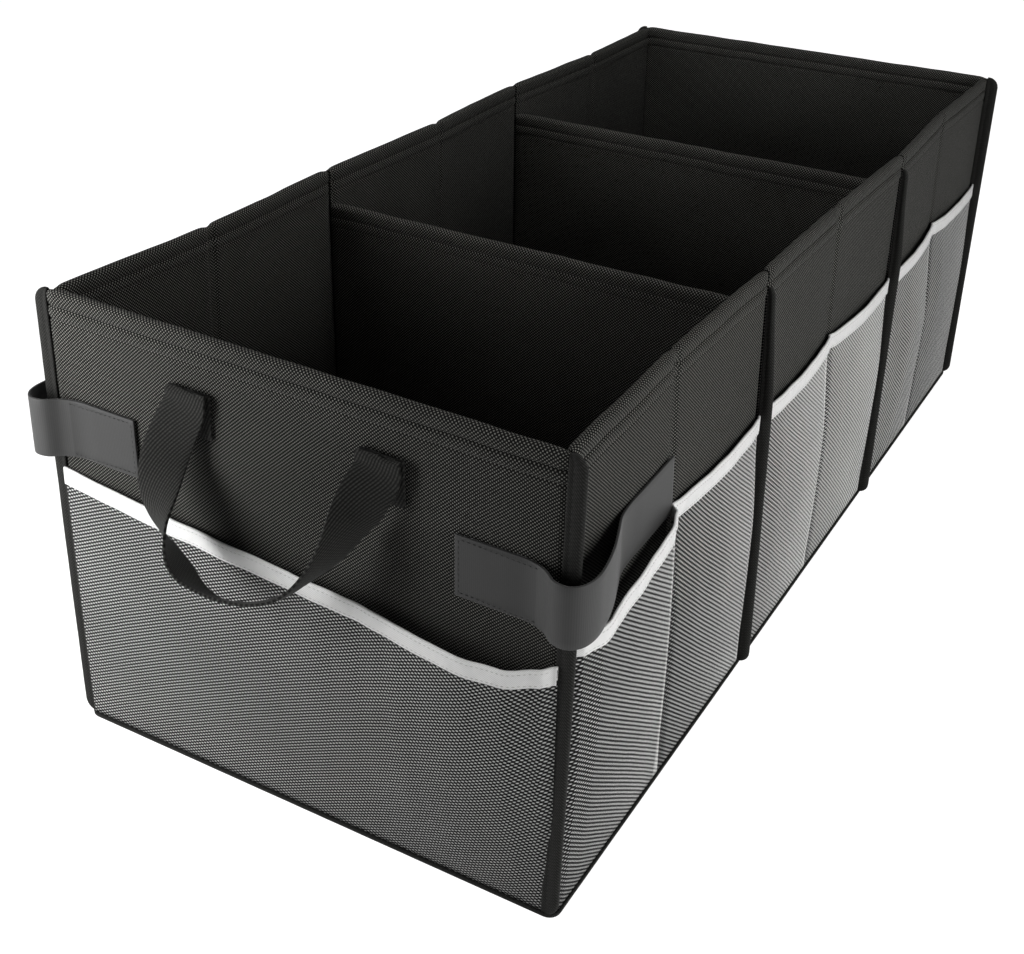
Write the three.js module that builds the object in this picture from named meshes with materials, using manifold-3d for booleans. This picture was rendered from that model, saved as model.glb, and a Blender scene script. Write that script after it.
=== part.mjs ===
// Folding storage box: an open-topped organiser with three bays for a car boot, standing open.
// Millimetres. X runs across the box, Y along it with the strap end at minus Y, Z is up.
// The origin is the centre of the base, at floor level.
import * as THREE from 'three';
import { mergeVertices } from 'three/addons/utils/BufferGeometryUtils.js';
import Module from 'manifold-3d';

const wasm = await Module();
wasm.setup();

// Driving dimensions of the whole box
const LENGTH = 870;
const WIDTH = 370;
const HEIGHT = 320;
const BAYS = 3;
const DIVIDER_HEIGHT = 294;
const GAP = 0.3;

// Cloth-covered panels: a cover of folded cloth with a stiff board inside
const WALL = 6;
const CLOTH = 1.2;
const BOARD = WALL - 2 * CLOTH - 2 * GAP;
const HEM_BULGE = 0.6;
const HEM_TOP_BAND = 9;
const HEM_GROOVE = 2;
const HEM_LOWER_BAND = 7;
const HEM = HEM_TOP_BAND + HEM_GROOVE + HEM_LOWER_BAND;
const BOARD_MARGIN = 5;
const CREASE_DEPTH = 2;
const CREASE_HALF_WIDTH = 3;

// Bottom cloth and the base boards that lie on it
const BOTTOM_CLOTH = 1.6;
const RIM_HEIGHT = 5;
const RIM_OVERHANG = 3;
const BASE_BOARD = 4;
const BASE_BOARD_CLEARANCE = 1.5;
const BASE_CORNER_RADIUS = 8;

// Bound seams at the corners and where a divider meets the walls: each stands out like a fin
const SEAM_BEAD_DEPTH = 9;
const SEAM_BEAD_WIDTH = 4.4;
const SEAM_WEB = 2;
const SEAM_SLIT = 2.8;
const SEAM_TOP = 308;

// Mesh pockets and the tape along their mouths
const MESH = 1.4;
const TRIM_TAPE = 2.2;
const TRIM_HEIGHT = 12;
const POCKET_FLANGE = 3;
const POCKET_BULGE = 12;
const SIDE_MOUTH_AT_CORNER = 203;
const SIDE_MOUTH_AT_SEAM = 213;
const SIDE_MOUTH_AT_CREASE = 216;
const SIDE_MOUTH_SAG = 6;
const END_MOUTH = 196;
const END_MOUTH_SAG = 14;

// Webbing handle and closing straps
const WEBBING = 1.8;
const HANDLE_WIDTH = 30;
const HANDLE_SPREAD = 69;
const HANDLE_FOLD_HEIGHT = 284;
const HANDLE_FOLD_RADIUS = 2.3;
const HANDLE_SEWN_LENGTH = 28;
const STRAP_WIDTH = 40;
const STRAP_MIDDLE_HEIGHT = 231;

// Heights and places that follow from the driving dimensions
const STAND = BOTTOM_CLOTH + GAP;
const COVER_HEIGHT = HEIGHT - STAND;
const END_PANEL_INSET = 1;
const CORNER_SEAM = LENGTH / 2 - SEAM_BEAD_WIDTH / 2;
const BAY_LENGTH = LENGTH / BAYS;
const SKIN = HEM_BULGE + GAP;
const POCKET_FOOT = RIM_HEIGHT + GAP;
const SIDES = { left: -1, right: 1 };
const BAY_NAMES = ['front', 'middle', 'rear'];

// Materials
const blackCloth = () => new THREE.MeshStandardMaterial({ color: 0x1b1a18, roughness: 0.9 });
const innerBoard = () => new THREE.MeshStandardMaterial({ color: 0x6b5c48, roughness: 0.85 });
const bindingTape = () => new THREE.MeshStandardMaterial({ color: 0x0e0e0e, roughness: 0.8 });
const greyMesh = () => new THREE.MeshStandardMaterial({ color: 0x5a5a5c, roughness: 0.8 });
const lightTape = () => new THREE.MeshStandardMaterial({ color: 0xd8d8da, roughness: 0.5 });
const webbing = () => new THREE.MeshStandardMaterial({ color: 0x151515, roughness: 0.75 });

const box = new THREE.Group();

function add(name, geometry, material) {
  const mesh = new THREE.Mesh(geometry, material);
  mesh.name = name;
  box.add(mesh);
  return mesh;
}

// Closed solids for joining and cutting

function solid(geometry) {
  const bare = geometry.clone();
  bare.deleteAttribute('normal');
  bare.deleteAttribute('uv');
  const merged = mergeVertices(bare, 1e-4);
  const vertProperties = new Float32Array(merged.attributes.position.array);
  const triVerts = new Uint32Array(merged.index.array);
  return new wasm.Manifold(new wasm.Mesh({ numProp: 3, vertProperties, triVerts }));
}

function surface(shape) {
  const mesh = shape.getMesh();
  const geometry = new THREE.BufferGeometry();
  geometry.setAttribute('position', new THREE.BufferAttribute(mesh.vertProperties, 3));
  geometry.setIndex(new THREE.BufferAttribute(mesh.triVerts, 1));
  return geometry;
}

function cut(geometry, tools) {
  let shape = solid(geometry);
  for (const tool of tools) {
    shape = shape.subtract(solid(tool));
  }
  return surface(shape);
}

function block(x0, x1, y0, y1, z0, z1) {
  const geometry = new THREE.BoxGeometry(x1 - x0, y1 - y0, z1 - z0);
  return geometry.translate((x0 + x1) / 2, (y0 + y1) / 2, (z0 + z1) / 2);
}

function extruded(shape, depth) {
  return new THREE.ExtrudeGeometry(shape, { depth, bevelEnabled: false, curveSegments: 6 });
}

// An outline in plan, raised from one height to another
function raised(shape, low, high) {
  return extruded(shape, high - low).translate(0, 0, low);
}

// An upright cross-section, drawn with X across and Y up, drawn out along Y
function drawn(shape, from, to) {
  return extruded(shape, to - from).rotateX(Math.PI / 2).translate(0, to, 0);
}

// A bent sheet of even thickness: a grid of middle points, pushed out and in along its normals
function thickSheet(point, columns, rows, thickness) {
  const step = 1e-3;
  const middle = columns.map((u) => rows.map((v) => {
    const along = point(u + step, v).sub(point(u - step, v));
    const up = point(u, v + step).sub(point(u, v - step));
    const normal = along.cross(up).normalize().multiplyScalar(thickness / 2);
    const place = point(u, v);
    return [place.clone().add(normal), place.clone().sub(normal)];
  }));
  const positions = [];
  const quad = (a, b, c, d) => {
    for (const corner of [a, b, c, a, c, d]) {
      positions.push(corner.x, corner.y, corner.z);
    }
  };
  const lastColumn = columns.length - 1;
  const lastRow = rows.length - 1;
  for (let i = 0; i < lastColumn; i += 1) {
    for (let j = 0; j < lastRow; j += 1) {
      const [a, b, c, d] = [middle[i][j], middle[i + 1][j], middle[i + 1][j + 1], middle[i][j + 1]];
      quad(a[0], b[0], c[0], d[0]);
      quad(d[1], c[1], b[1], a[1]);
    }
    const [foot, nextFoot] = [middle[i][0], middle[i + 1][0]];
    const [top, nextTop] = [middle[i][lastRow], middle[i + 1][lastRow]];
    quad(foot[1], nextFoot[1], nextFoot[0], foot[0]);
    quad(top[0], nextTop[0], nextTop[1], top[1]);
  }
  for (let j = 0; j < lastRow; j += 1) {
    const [first, last] = [middle[0], middle[lastColumn]];
    quad(first[j][0], first[j + 1][0], first[j + 1][1], first[j][1]);
    quad(last[j][1], last[j + 1][1], last[j + 1][0], last[j][0]);
  }
  const geometry = new THREE.BufferGeometry();
  geometry.setAttribute('position', new THREE.Float32BufferAttribute(positions, 3));
  return facingOut(mergeVertices(geometry, 1e-4));
}

// A mirrored sheet comes out inside out, so its volume tells which way its faces must turn
function facingOut(geometry) {
  const place = geometry.attributes.position;
  const index = geometry.index.array;
  const corner = (k) => new THREE.Vector3().fromBufferAttribute(place, index[k]);
  let volume = 0;
  for (let k = 0; k < index.length; k += 3) {
    volume += corner(k).dot(corner(k + 1).cross(corner(k + 2)));
  }
  if (volume < 0) {
    for (let k = 0; k < index.length; k += 3) {
      [index[k + 1], index[k + 2]] = [index[k + 2], index[k + 1]];
    }
  }
  return geometry;
}

function evenSteps(count) {
  return Array.from({ length: count + 1 }, (_, k) => k / count);
}

// Panels: a cover folded over the top of its boards, open below, with a hem of two stitched bands

function coverProfile(height) {
  const half = WALL / 2;
  const out = half + HEM_BULGE;
  const grooveTop = height - HEM_TOP_BAND;
  const lowerTop = grooveTop - HEM_GROOVE;
  const lowerFoot = lowerTop - HEM_LOWER_BAND;
  const shape = new THREE.Shape();
  shape.moveTo(-half, 0);
  shape.lineTo(half, 0);
  shape.lineTo(half, lowerFoot);
  shape.lineTo(out, lowerFoot + 1);
  shape.lineTo(out, lowerTop - 1);
  shape.lineTo(half, lowerTop);
  shape.lineTo(half, grooveTop);
  shape.lineTo(out, grooveTop + 1);
  shape.lineTo(out, height - out);
  shape.absarc(0, height - out, out, 0, Math.PI, false);
  shape.lineTo(-out, grooveTop + 1);
  shape.lineTo(-half, grooveTop);
  shape.lineTo(-half, lowerTop);
  shape.lineTo(-out, lowerTop - 1);
  shape.lineTo(-out, lowerFoot + 1);
  shape.lineTo(-half, lowerFoot);
  shape.closePath();
  return shape;
}

function creaseCutter(y, side, height) {
  const face = side * (WALL / 2 + HEM_BULGE + 1);
  const root = side * (WALL / 2 - CREASE_DEPTH);
  const spread = CREASE_HALF_WIDTH * (Math.abs(face) - Math.abs(root)) / CREASE_DEPTH;
  const shape = new THREE.Shape([
    new THREE.Vector2(root, y),
    new THREE.Vector2(face, y + side * spread),
    new THREE.Vector2(face, y - side * spread),
  ].reverse());
  return raised(shape, -1, height + 1);
}

// The stretches of a cover that hold a board, between its ends and its creases
function boardStretches(from, to, creases) {
  const stops = [from, ...creases, to];
  return stops.slice(1).map((stop, k) => [stops[k] + BOARD_MARGIN, stop - BOARD_MARGIN]);
}

function addPanel(name, from, to, height, creases, place) {
  const boardTop = height - HEM - GAP;
  const stretches = boardStretches(from, to, creases);
  const sleeve = BOARD / 2 + GAP;
  const sleeves = stretches.map(([y0, y1]) => block(-sleeve, sleeve, y0 - GAP, y1 + GAP, -1, height - HEM));
  const folds = creases.flatMap((y) => [1, -1].map((side) => creaseCutter(y, side, height)));
  const folded = drawn(coverProfile(height), from, to);
  place(add(`${name}_cover`, cut(folded, [...sleeves, ...folds]), blackCloth()));
  stretches.forEach(([y0, y1], k) => {
    const label = stretches.length > 1 ? `${name}_board_${k + 1}` : `${name}_board`;
    place(add(label, block(-BOARD / 2, BOARD / 2, y0, y1, 0, boardTop), innerBoard()));
  });
}

function addEndPanels() {
  const half = WIDTH / 2 - END_PANEL_INSET;
  for (const [name, end] of [['front_panel', -1], ['rear_panel', 1]]) {
    addPanel(name, -half, half, COVER_HEIGHT, [], (mesh) => {
      mesh.rotation.z = Math.PI / 2;
      mesh.position.set(0, end * (LENGTH - WALL) / 2, STAND);
    });
  }
}

function addDividers() {
  const half = WIDTH / 2 - WALL - GAP;
  for (const [name, y] of [['front_divider', -BAY_LENGTH / 2], ['rear_divider', BAY_LENGTH / 2]]) {
    addPanel(name, -half, half, DIVIDER_HEIGHT - STAND, [], (mesh) => {
      mesh.rotation.z = Math.PI / 2;
      mesh.position.set(0, y, STAND);
    });
  }
}

function addSideWalls() {
  const cornerEnd = LENGTH / 2 - WALL - SKIN;
  for (const [side, sign] of Object.entries(SIDES)) {
    BAY_NAMES.forEach((bay, k) => {
      const start = -LENGTH / 2 + k * BAY_LENGTH;
      const from = Math.max(start + SEAM_SLIT / 2, -cornerEnd);
      const to = Math.min(start + BAY_LENGTH - SEAM_SLIT / 2, cornerEnd);
      addPanel(`${side}_${bay}_wall`, from, to, COVER_HEIGHT, [start + BAY_LENGTH / 2], (mesh) => {
        mesh.position.set(sign * (WIDTH - WALL) / 2, 0, STAND);
      });
    });
  }
}

// Bottom: one cloth with a bound edge, notched for the bindings, and a flap-like board in each bay

function roundedPlan(halfX, halfY, radius) {
  const shape = new THREE.Shape();
  shape.moveTo(-halfX + radius, -halfY);
  shape.absarc(halfX - radius, -halfY + radius, radius, -Math.PI / 2, 0, false);
  shape.absarc(halfX - radius, halfY - radius, radius, 0, Math.PI / 2, false);
  shape.absarc(-halfX + radius, halfY - radius, radius, Math.PI / 2, Math.PI, false);
  shape.absarc(-halfX + radius, -halfY + radius, radius, Math.PI, 1.5 * Math.PI, false);
  return shape;
}

function addBottomCloth() {
  const halfX = WIDTH / 2 + RIM_OVERHANG;
  const halfY = LENGTH / 2 + RIM_OVERHANG;
  const slab = raised(roundedPlan(halfX, halfY, BASE_CORNER_RADIUS), 0, RIM_HEIGHT);
  const reach = SKIN + SEAM_BEAD_DEPTH + GAP;
  const bead = SEAM_BEAD_WIDTH / 2 + GAP;
  const clearing = (x, y, reachX, reachY) => {
    return block(x - reachX, x + reachX, y - reachY, y + reachY, BOTTOM_CLOTH, HEIGHT);
  };
  const clearings = [clearing(0, 0, WIDTH / 2 + SKIN, LENGTH / 2 + SKIN)];
  for (const x of [-WIDTH / 2, WIDTH / 2]) {
    for (const side of [-1, 1]) {
      clearings.push(clearing(x, side * LENGTH / 2, reach, LENGTH / 2 - CORNER_SEAM + bead));
      clearings.push(clearing(x, side * BAY_LENGTH / 2, reach, bead));
    }
  }
  add('bottom_cloth', cut(slab, clearings), blackCloth());
}

function addBaseBoards() {
  const halfX = WIDTH / 2 - WALL - HEM_BULGE - BASE_BOARD_CLEARANCE;
  BAY_NAMES.forEach((bay, k) => {
    const start = -LENGTH / 2 + k * BAY_LENGTH;
    const frontWall = k === 0 ? WALL : WALL / 2;
    const rearWall = k === BAYS - 1 ? WALL : WALL / 2;
    const from = start + frontWall + HEM_BULGE + BASE_BOARD_CLEARANCE;
    const to = start + BAY_LENGTH - rearWall - HEM_BULGE - BASE_BOARD_CLEARANCE;
    const shape = roundedPlan(halfX, (to - from) / 2, 4);
    const mesh = add(`${bay}_base_board`, raised(shape, 0, BASE_BOARD), blackCloth());
    mesh.position.set(0, (from + to) / 2, STAND);
  });
}

// Bindings

// In plan a bead stands out of the wall on a web that passes through the slit to the divider
function seamPlan() {
  const bead = SEAM_BEAD_WIDTH / 2;
  const web = SEAM_WEB / 2;
  const tip = SKIN + SEAM_BEAD_DEPTH;
  const shape = new THREE.Shape();
  shape.moveTo(-WALL, -web);
  shape.lineTo(SKIN, -web);
  shape.lineTo(SKIN, -bead);
  shape.absarc(tip - bead, 0, bead, -Math.PI / 2, Math.PI / 2, false);
  shape.lineTo(SKIN, bead);
  shape.lineTo(SKIN, web);
  shape.lineTo(-WALL, web);
  shape.closePath();
  return shape;
}

// At a corner the bead stands out past the edge of the end panel, flush with its outer face
function cornerPlan() {
  const bead = SEAM_BEAD_WIDTH / 2;
  const root = GAP - END_PANEL_INSET;
  const tip = SKIN + SEAM_BEAD_DEPTH;
  const shape = new THREE.Shape();
  shape.moveTo(root, -bead);
  shape.absarc(tip - bead, 0, bead, -Math.PI / 2, Math.PI / 2, false);
  shape.lineTo(root, bead);
  shape.closePath();
  return shape;
}

// Seen along the box the binding is a long tab with round outer corners
function seamElevation(top) {
  const tip = SKIN + SEAM_BEAD_DEPTH;
  const radius = SEAM_BEAD_DEPTH - 2;
  const shape = new THREE.Shape();
  shape.moveTo(-WALL - 1, 0);
  shape.absarc(tip - radius, radius, radius, -Math.PI / 2, 0, false);
  shape.absarc(tip - radius, top - radius, radius, 0, Math.PI / 2, false);
  shape.lineTo(-WALL - 1, top);
  shape.closePath();
  return shape;
}

function boundSeam(plan, top) {
  const upright = solid(raised(plan, -1, top + 1));
  const tab = solid(drawn(seamElevation(top), -SEAM_BEAD_WIDTH, SEAM_BEAD_WIDTH));
  return surface(upright.intersect(tab));
}

function addCornerBindings() {
  const geometry = boundSeam(cornerPlan(), COVER_HEIGHT);
  for (const [end, y] of [['front', -CORNER_SEAM], ['rear', CORNER_SEAM]]) {
    for (const [side, sign] of Object.entries(SIDES)) {
      const mesh = add(`${end}_${side}_corner_binding`, geometry.clone(), bindingTape());
      mesh.rotation.z = sign > 0 ? 0 : Math.PI;
      mesh.position.set(sign * WIDTH / 2, y, STAND);
    }
  }
}

function addSeamBindings() {
  const geometry = boundSeam(seamPlan(), SEAM_TOP - STAND);
  for (const [side, sign] of Object.entries(SIDES)) {
    for (const [place, y] of [['front', -BAY_LENGTH / 2], ['rear', BAY_LENGTH / 2]]) {
      const mesh = add(`${side}_${place}_seam_binding`, geometry.clone(), bindingTape());
      mesh.rotation.z = sign > 0 ? 0 : Math.PI;
      mesh.position.set(sign * WIDTH / 2, y, STAND);
    }
  }
}

// Mesh pockets: each is a sheet that bellies out between the lines where it is sewn down

function belly(t) {
  return Math.sin(Math.PI * THREE.MathUtils.clamp(t, 0, 1)) ** 0.6;
}

// A pocket is flat at its foot and fullest towards its mouth
function fullness(z, mouth) {
  const t = THREE.MathUtils.clamp((z - POCKET_FOOT) / (mouth - POCKET_FOOT), 0, 1);
  return Math.sin(Math.PI / 2 * Math.min(1, 1.35 * t)) ** 0.7;
}

// The mesh runs up to the tape, and the tape from there to the mouth
function addPocket(name, columns, place, mouth) {
  const point = (u, z, base) => place(u, z, base, fullness(z, mouth(u)));
  const meshTop = (u) => mouth(u) - TRIM_HEIGHT - GAP;
  const meshRows = evenSteps(8);
  const meshPoint = (u, v) => point(u, POCKET_FOOT + v * (meshTop(u) - POCKET_FOOT), SKIN + MESH / 2);
  add(`${name}_mesh_pocket`, thickSheet(meshPoint, columns, meshRows, MESH), greyMesh());
  const trimPoint = (u, v) => point(u, mouth(u) - TRIM_HEIGHT * (1 - v), SKIN + TRIM_TAPE / 2);
  add(`${name}_pocket_tape`, thickSheet(trimPoint, columns, [0, 1], TRIM_TAPE), lightTape());
}

// Columns across one belly: a sewn flange at each side and closer steps where it rises
const BELLY_COLUMNS = [0, 0.03, 0.08, 0.16, 0.3, 0.5, 0.7, 0.84, 0.92, 0.97, 1];

function addSidePockets() {
  for (const [side, sign] of Object.entries(SIDES)) {
    BAY_NAMES.forEach((bay, k) => {
      const start = -LENGTH / 2 + k * BAY_LENGTH;
      const seam = SEAM_BEAD_WIDTH / 2 + 2 * GAP;
      const corner = SEAM_BEAD_WIDTH + 2 * GAP;
      const from = start + (k === 0 ? corner : seam);
      const to = start + BAY_LENGTH - (k === BAYS - 1 ? corner : seam);
      const crease = start + BAY_LENGTH / 2;
      const frontMouth = k === 0 ? SIDE_MOUTH_AT_CORNER : SIDE_MOUTH_AT_SEAM;
      const flat = POCKET_FLANGE / (BAY_LENGTH / 2);
      // u runs from 0 to 1 over the front half of the bay and from 1 to 2 over the rear half
      const along = (u, front, middle, rear) => {
        return u < 1 ? THREE.MathUtils.lerp(front, middle, u) : THREE.MathUtils.lerp(middle, rear, u - 1);
      };
      const mouth = (u) => {
        const line = along(u, frontMouth, SIDE_MOUTH_AT_CREASE, SIDE_MOUTH_AT_SEAM);
        return line - SIDE_MOUTH_SAG * Math.abs(Math.sin(Math.PI * u));
      };
      const place = (u, z, base, full) => {
        const t = u < 1 ? u : u - 1;
        const out = POCKET_BULGE * full * belly((t - flat) / (1 - 2 * flat));
        return new THREE.Vector3(sign * (WIDTH / 2 + base + out), along(u, from, crease, to), z);
      };
      const columns = [...BELLY_COLUMNS, ...BELLY_COLUMNS.slice(1).map((t) => t + 1)];
      addPocket(`${side}_${bay}`, columns, place, mouth);
    });
  }
}

function addEndPockets() {
  const half = WIDTH / 2 - END_PANEL_INSET - GAP;
  for (const [name, end] of [['front', -1], ['rear', 1]]) {
    const flat = POCKET_FLANGE / (2 * half);
    // The mouth sags most at two thirds of the way across
    const sag = (u) => Math.sin(Math.PI * THREE.MathUtils.clamp(u, 0, 1) ** 1.7);
    const mouth = (u) => END_MOUTH - END_MOUTH_SAG * sag(u);
    const place = (u, z, base, full) => {
      const out = POCKET_BULGE * full * belly((u - flat) / (1 - 2 * flat));
      return new THREE.Vector3(-end * half * (2 * u - 1), end * (LENGTH / 2 + base + out), z);
    };
    addPocket(name, BELLY_COLUMNS, place, mouth);
  }
}

// Handles: webbing sewn on flat, folded forward over its sewn ends and hanging in a loop that twists

// Middle line of the hanging loop, from the left fold to the right one: across, out of the panel, up
const HANDLE_LOOP = [
  [-70, 6.5, 276], [-75, 11, 262], [-80, 17, 241], [-80.5, 24, 219], [-74, 31, 193], [-59, 35, 172],
  [-34, 36, 166], [0, 36, 179], [28, 34, 198], [47, 29, 217], [58, 22, 238], [66, 13, 262], [69, 6.5, 276],
];
const HANDLE_TWIST = THREE.MathUtils.degToRad(105);

function handlePath(end) {
  const face = SKIN + WEBBING / 2;
  const fold = (side) => evenSteps(4).map((t) => {
    const turn = Math.PI * t;
    const out = face + HANDLE_FOLD_RADIUS * (1 - Math.cos(turn));
    return [side * HANDLE_SPREAD, out, HANDLE_FOLD_HEIGHT + HANDLE_FOLD_RADIUS * Math.sin(turn)];
  });
  const sewn = (side) => [1, 0.6, 0.2].map((t) => {
    return [side * HANDLE_SPREAD, face, HANDLE_FOLD_HEIGHT - t * HANDLE_SEWN_LENGTH];
  });
  const route = [...sewn(-1), ...fold(-1), ...HANDLE_LOOP, ...fold(1).reverse(), ...sewn(1).reverse()];
  const points = route.map(([across, out, up]) => {
    return new THREE.Vector3(-end * across, end * (LENGTH / 2 + out), up);
  });
  return new THREE.CatmullRomCurve3(points, false, 'centripetal');
}

function addHandles() {
  for (const [name, end] of [['front', -1], ['rear', 1]]) {
    const path = handlePath(end);
    const depth = new THREE.Vector3(0, -end, 0);
    const middle = new THREE.Vector3();
    const tangent = new THREE.Vector3();
    const point = (u, v) => {
      const t = THREE.MathUtils.clamp(u, 0, 1);
      path.getPoint(t, middle);
      path.getTangent(t, tangent);
      const across = tangent.clone().cross(depth).normalize();
      const hanging = THREE.MathUtils.smoothstep(t, 0.3, 0.48) - THREE.MathUtils.smoothstep(t, 0.58, 0.75);
      const twist = HANDLE_TWIST * hanging;
      const width = across.multiplyScalar(Math.cos(twist)).addScaledVector(depth, Math.sin(twist));
      return middle.clone().addScaledVector(width, (v - 0.5) * HANDLE_WIDTH);
    };
    add(`${name}_handle`, thickSheet(point, evenSteps(64), [0, 0.5, 1], WEBBING), webbing());
  }
}

// Closing straps: sewn on the front panel, standing off round the corner, laid on the side wall

// Middle line in plan from the sewn end: out of the box's corner across, and towards the rear
const STRAP_ROUTE = [
  [-68, -1.8], [-52, -1.8], [-36, -1.8], [-20, -2.2], [-9, -6], [0, -12.5], [9, -13], [15, -7.5],
  [17.5, 3], [16.5, 17], [13, 34], [8, 50], [3.2, 65], [1.8, 80], [1.8, 98], [1.8, 118], [1.8, 139],
];

function addStraps() {
  for (const [side, sign] of Object.entries(SIDES)) {
    const points = STRAP_ROUTE.map(([across, along]) => new THREE.Vector3(
      sign * (WIDTH / 2 + across), -LENGTH / 2 + along, STRAP_MIDDLE_HEIGHT,
    ));
    const path = new THREE.CatmullRomCurve3(points, false, 'centripetal');
    const point = (u, v) => {
      const middle = path.getPoint(THREE.MathUtils.clamp(u, 0, 1));
      middle.z += (v - 0.5) * STRAP_WIDTH;
      return middle;
    };
    add(`${side}_closing_strap`, thickSheet(point, evenSteps(48), [0, 1], WEBBING), webbing());
  }
}

addEndPanels();
addDividers();
addSideWalls();
addBottomCloth();
addBaseBoards();
addCornerBindings();
addSeamBindings();
addEndPockets();
addSidePockets();
addHandles();
addStraps();

export default box;
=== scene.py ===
"""Folding storage box: three bays of cloth-covered boards, with mesh pockets, webbing handles,
closing straps and lift-up base boards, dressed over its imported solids.

Shapes are worked out in millimetres in the box's own frame: X runs across it, Y along it with the
strap end at minus Y, and Z is up from the floor.
"""

import logging
import math
from bisect import bisect_right
from dataclasses import dataclass, field
from enum import Enum
from typing import Any, Callable, Iterable, Mapping, Sequence

import bmesh
import bpy
from mathutils import Matrix, Vector, noise


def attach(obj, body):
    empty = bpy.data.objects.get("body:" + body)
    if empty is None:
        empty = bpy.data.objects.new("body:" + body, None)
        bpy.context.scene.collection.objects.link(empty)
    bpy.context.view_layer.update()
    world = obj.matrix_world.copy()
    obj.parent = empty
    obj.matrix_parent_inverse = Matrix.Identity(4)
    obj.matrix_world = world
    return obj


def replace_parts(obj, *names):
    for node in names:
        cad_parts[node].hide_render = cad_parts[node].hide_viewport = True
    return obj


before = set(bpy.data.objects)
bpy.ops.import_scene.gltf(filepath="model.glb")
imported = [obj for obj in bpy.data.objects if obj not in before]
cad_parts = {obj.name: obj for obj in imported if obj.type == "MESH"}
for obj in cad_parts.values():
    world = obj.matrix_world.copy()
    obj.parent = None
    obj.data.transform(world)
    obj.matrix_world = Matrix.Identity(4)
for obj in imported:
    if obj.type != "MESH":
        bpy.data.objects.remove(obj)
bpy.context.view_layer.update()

LOG = logging.getLogger("storage_box")

MM = 0.001
MM_4 = Matrix.Diagonal((MM, MM, MM, 1.0))

# The whole box in millimetres: its outer sizes, the height that its walls stand at, how thick they
# are, how far cloth stands proud of them, the seams, and how far short of these the panels end
LENGTH = 870.0
WIDTH = 370.0
HEIGHT = 320.0
BAYS = 3
BAY = LENGTH / BAYS
DIVIDER_TOP = 294.0
STAND = 1.9
WALL = 6.0
SKIN = 0.9
SEAM_TOP = 308.0
CORNER_SEAM = 432.8
CORNER_EDGE = 1.0
SEAM_EDGE = 1.4
BAY_NAMES = ("front", "middle", "rear")
BOX = "box"
UP = Vector((0, 0, 1))

Colour = tuple[float, float, float]
Shape = Callable[[float, float], Vector]
Placing = Callable[[float, float, float], Vector]


class Named(Enum):
    """A choice whose name is a word in the names of its pieces."""

    @property
    def word(self) -> str:
        """The choice in small letters."""
        return self.name.lower()


class Side(Named):
    """The two long sides of the box, by the sign of X."""

    LEFT = -1
    RIGHT = 1


class End(Named):
    """The two short ends of the box, by the sign of Y."""

    FRONT = -1
    REAR = 1


class Hold(Enum):
    """How a sheet of cloth is held in place."""

    FOLDED = "folded"
    LAID = "laid"
    GATHERED = "gathered"


def smooth(low: float, high: float, value: float) -> float:
    """Ease from 0 at low to 1 at high, read at a value."""
    share = min(1.0, max(0.0, (value - low) / (high - low)))
    return share * share * (3 - 2 * share)


def lumps(*place: float) -> float:
    """Smooth noise at a place of three numbers."""
    return noise.noise(Vector(place))


def spread(first: float, last: float, count: int) -> list[float]:
    """count + 1 even stops from first to last."""
    return [first + (last - first) * k / count for k in range(count + 1)]


def graded(first: float, last: float, step: float, marks: Iterable[float] = ()) -> list[float]:
    """Stops along a piece, closer together beside its folds and ends.

    Args:
        first: the first stop.
        last: the last stop.
        step: the usual distance between stops.
        marks: places that need close stops.

    Returns:
        The stops in rising order.
    """
    near = (-8.0, -6.0, -5.0, -4.0, -3.0, -1.8, -0.8, 0.0, 0.8, 1.8, 3.0, 4.0, 5.0, 6.0, 8.0)
    apart, least = 1.6, 0.5
    close = [mark + off for mark in marks for off in near if first < mark + off < last]
    even = spread(first, last, max(1, round((last - first) / step)))
    clear = [x for x in even[1:-1] if all(abs(x - other) > apart for other in close)]
    kept = [first]
    for stop in sorted([*close, *clear]):
        if min(stop - kept[-1], last - stop) > least:
            kept.append(stop)
    return [*kept, last]


def cornered(low: float, high: float, radius: float, count: int, ends: int) -> list[float]:
    """Stops from low to high, with count stretches between round corners and ends over each."""
    near, far = spread(low, low + radius, ends), spread(high - radius, high, ends)
    return [*near[:-1], *spread(low + radius, high - radius, count), *far[1:]]


def rounded(x: float, y: float, half: tuple[float, float], radius: float) -> tuple[float, float]:
    """Draw a place in, so that a rectangle's corners come out round.

    Args:
        x: the place across, from the middle.
        y: the place along, from the middle.
        half: the rectangle's half sizes.
        radius: the radius of its corners.

    Returns:
        The place drawn in.
    """
    inner = half[0] - radius, half[1] - radius
    over = abs(x) - inner[0], abs(y) - inner[1]
    if min(over) <= 0:
        return x, y
    pull = max(over) / math.hypot(*over)
    return math.copysign(inner[0] + over[0] * pull, x), math.copysign(inner[1] + over[1] * pull, y)


@dataclass(frozen=True)
class Table:
    """A measured line: values at rising stops, eased or straight between them."""

    stops: tuple[float, ...]
    values: tuple[float, ...]
    eased: bool = True

    def at(self, place: float) -> float:
        """The value at a place.

        Args:
            place: where along the stops.

        Returns:
            The value, held at the first and last ones beyond the ends.
        """
        if place <= self.stops[0]:
            return self.values[0]
        if place >= self.stops[-1]:
            return self.values[-1]
        k = bisect_right(self.stops, place) - 1
        low, high = self.stops[k], self.stops[k + 1]
        share = smooth(low, high, place) if self.eased else (place - low) / (high - low)
        return self.values[k] + (self.values[k + 1] - self.values[k]) * share


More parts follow.
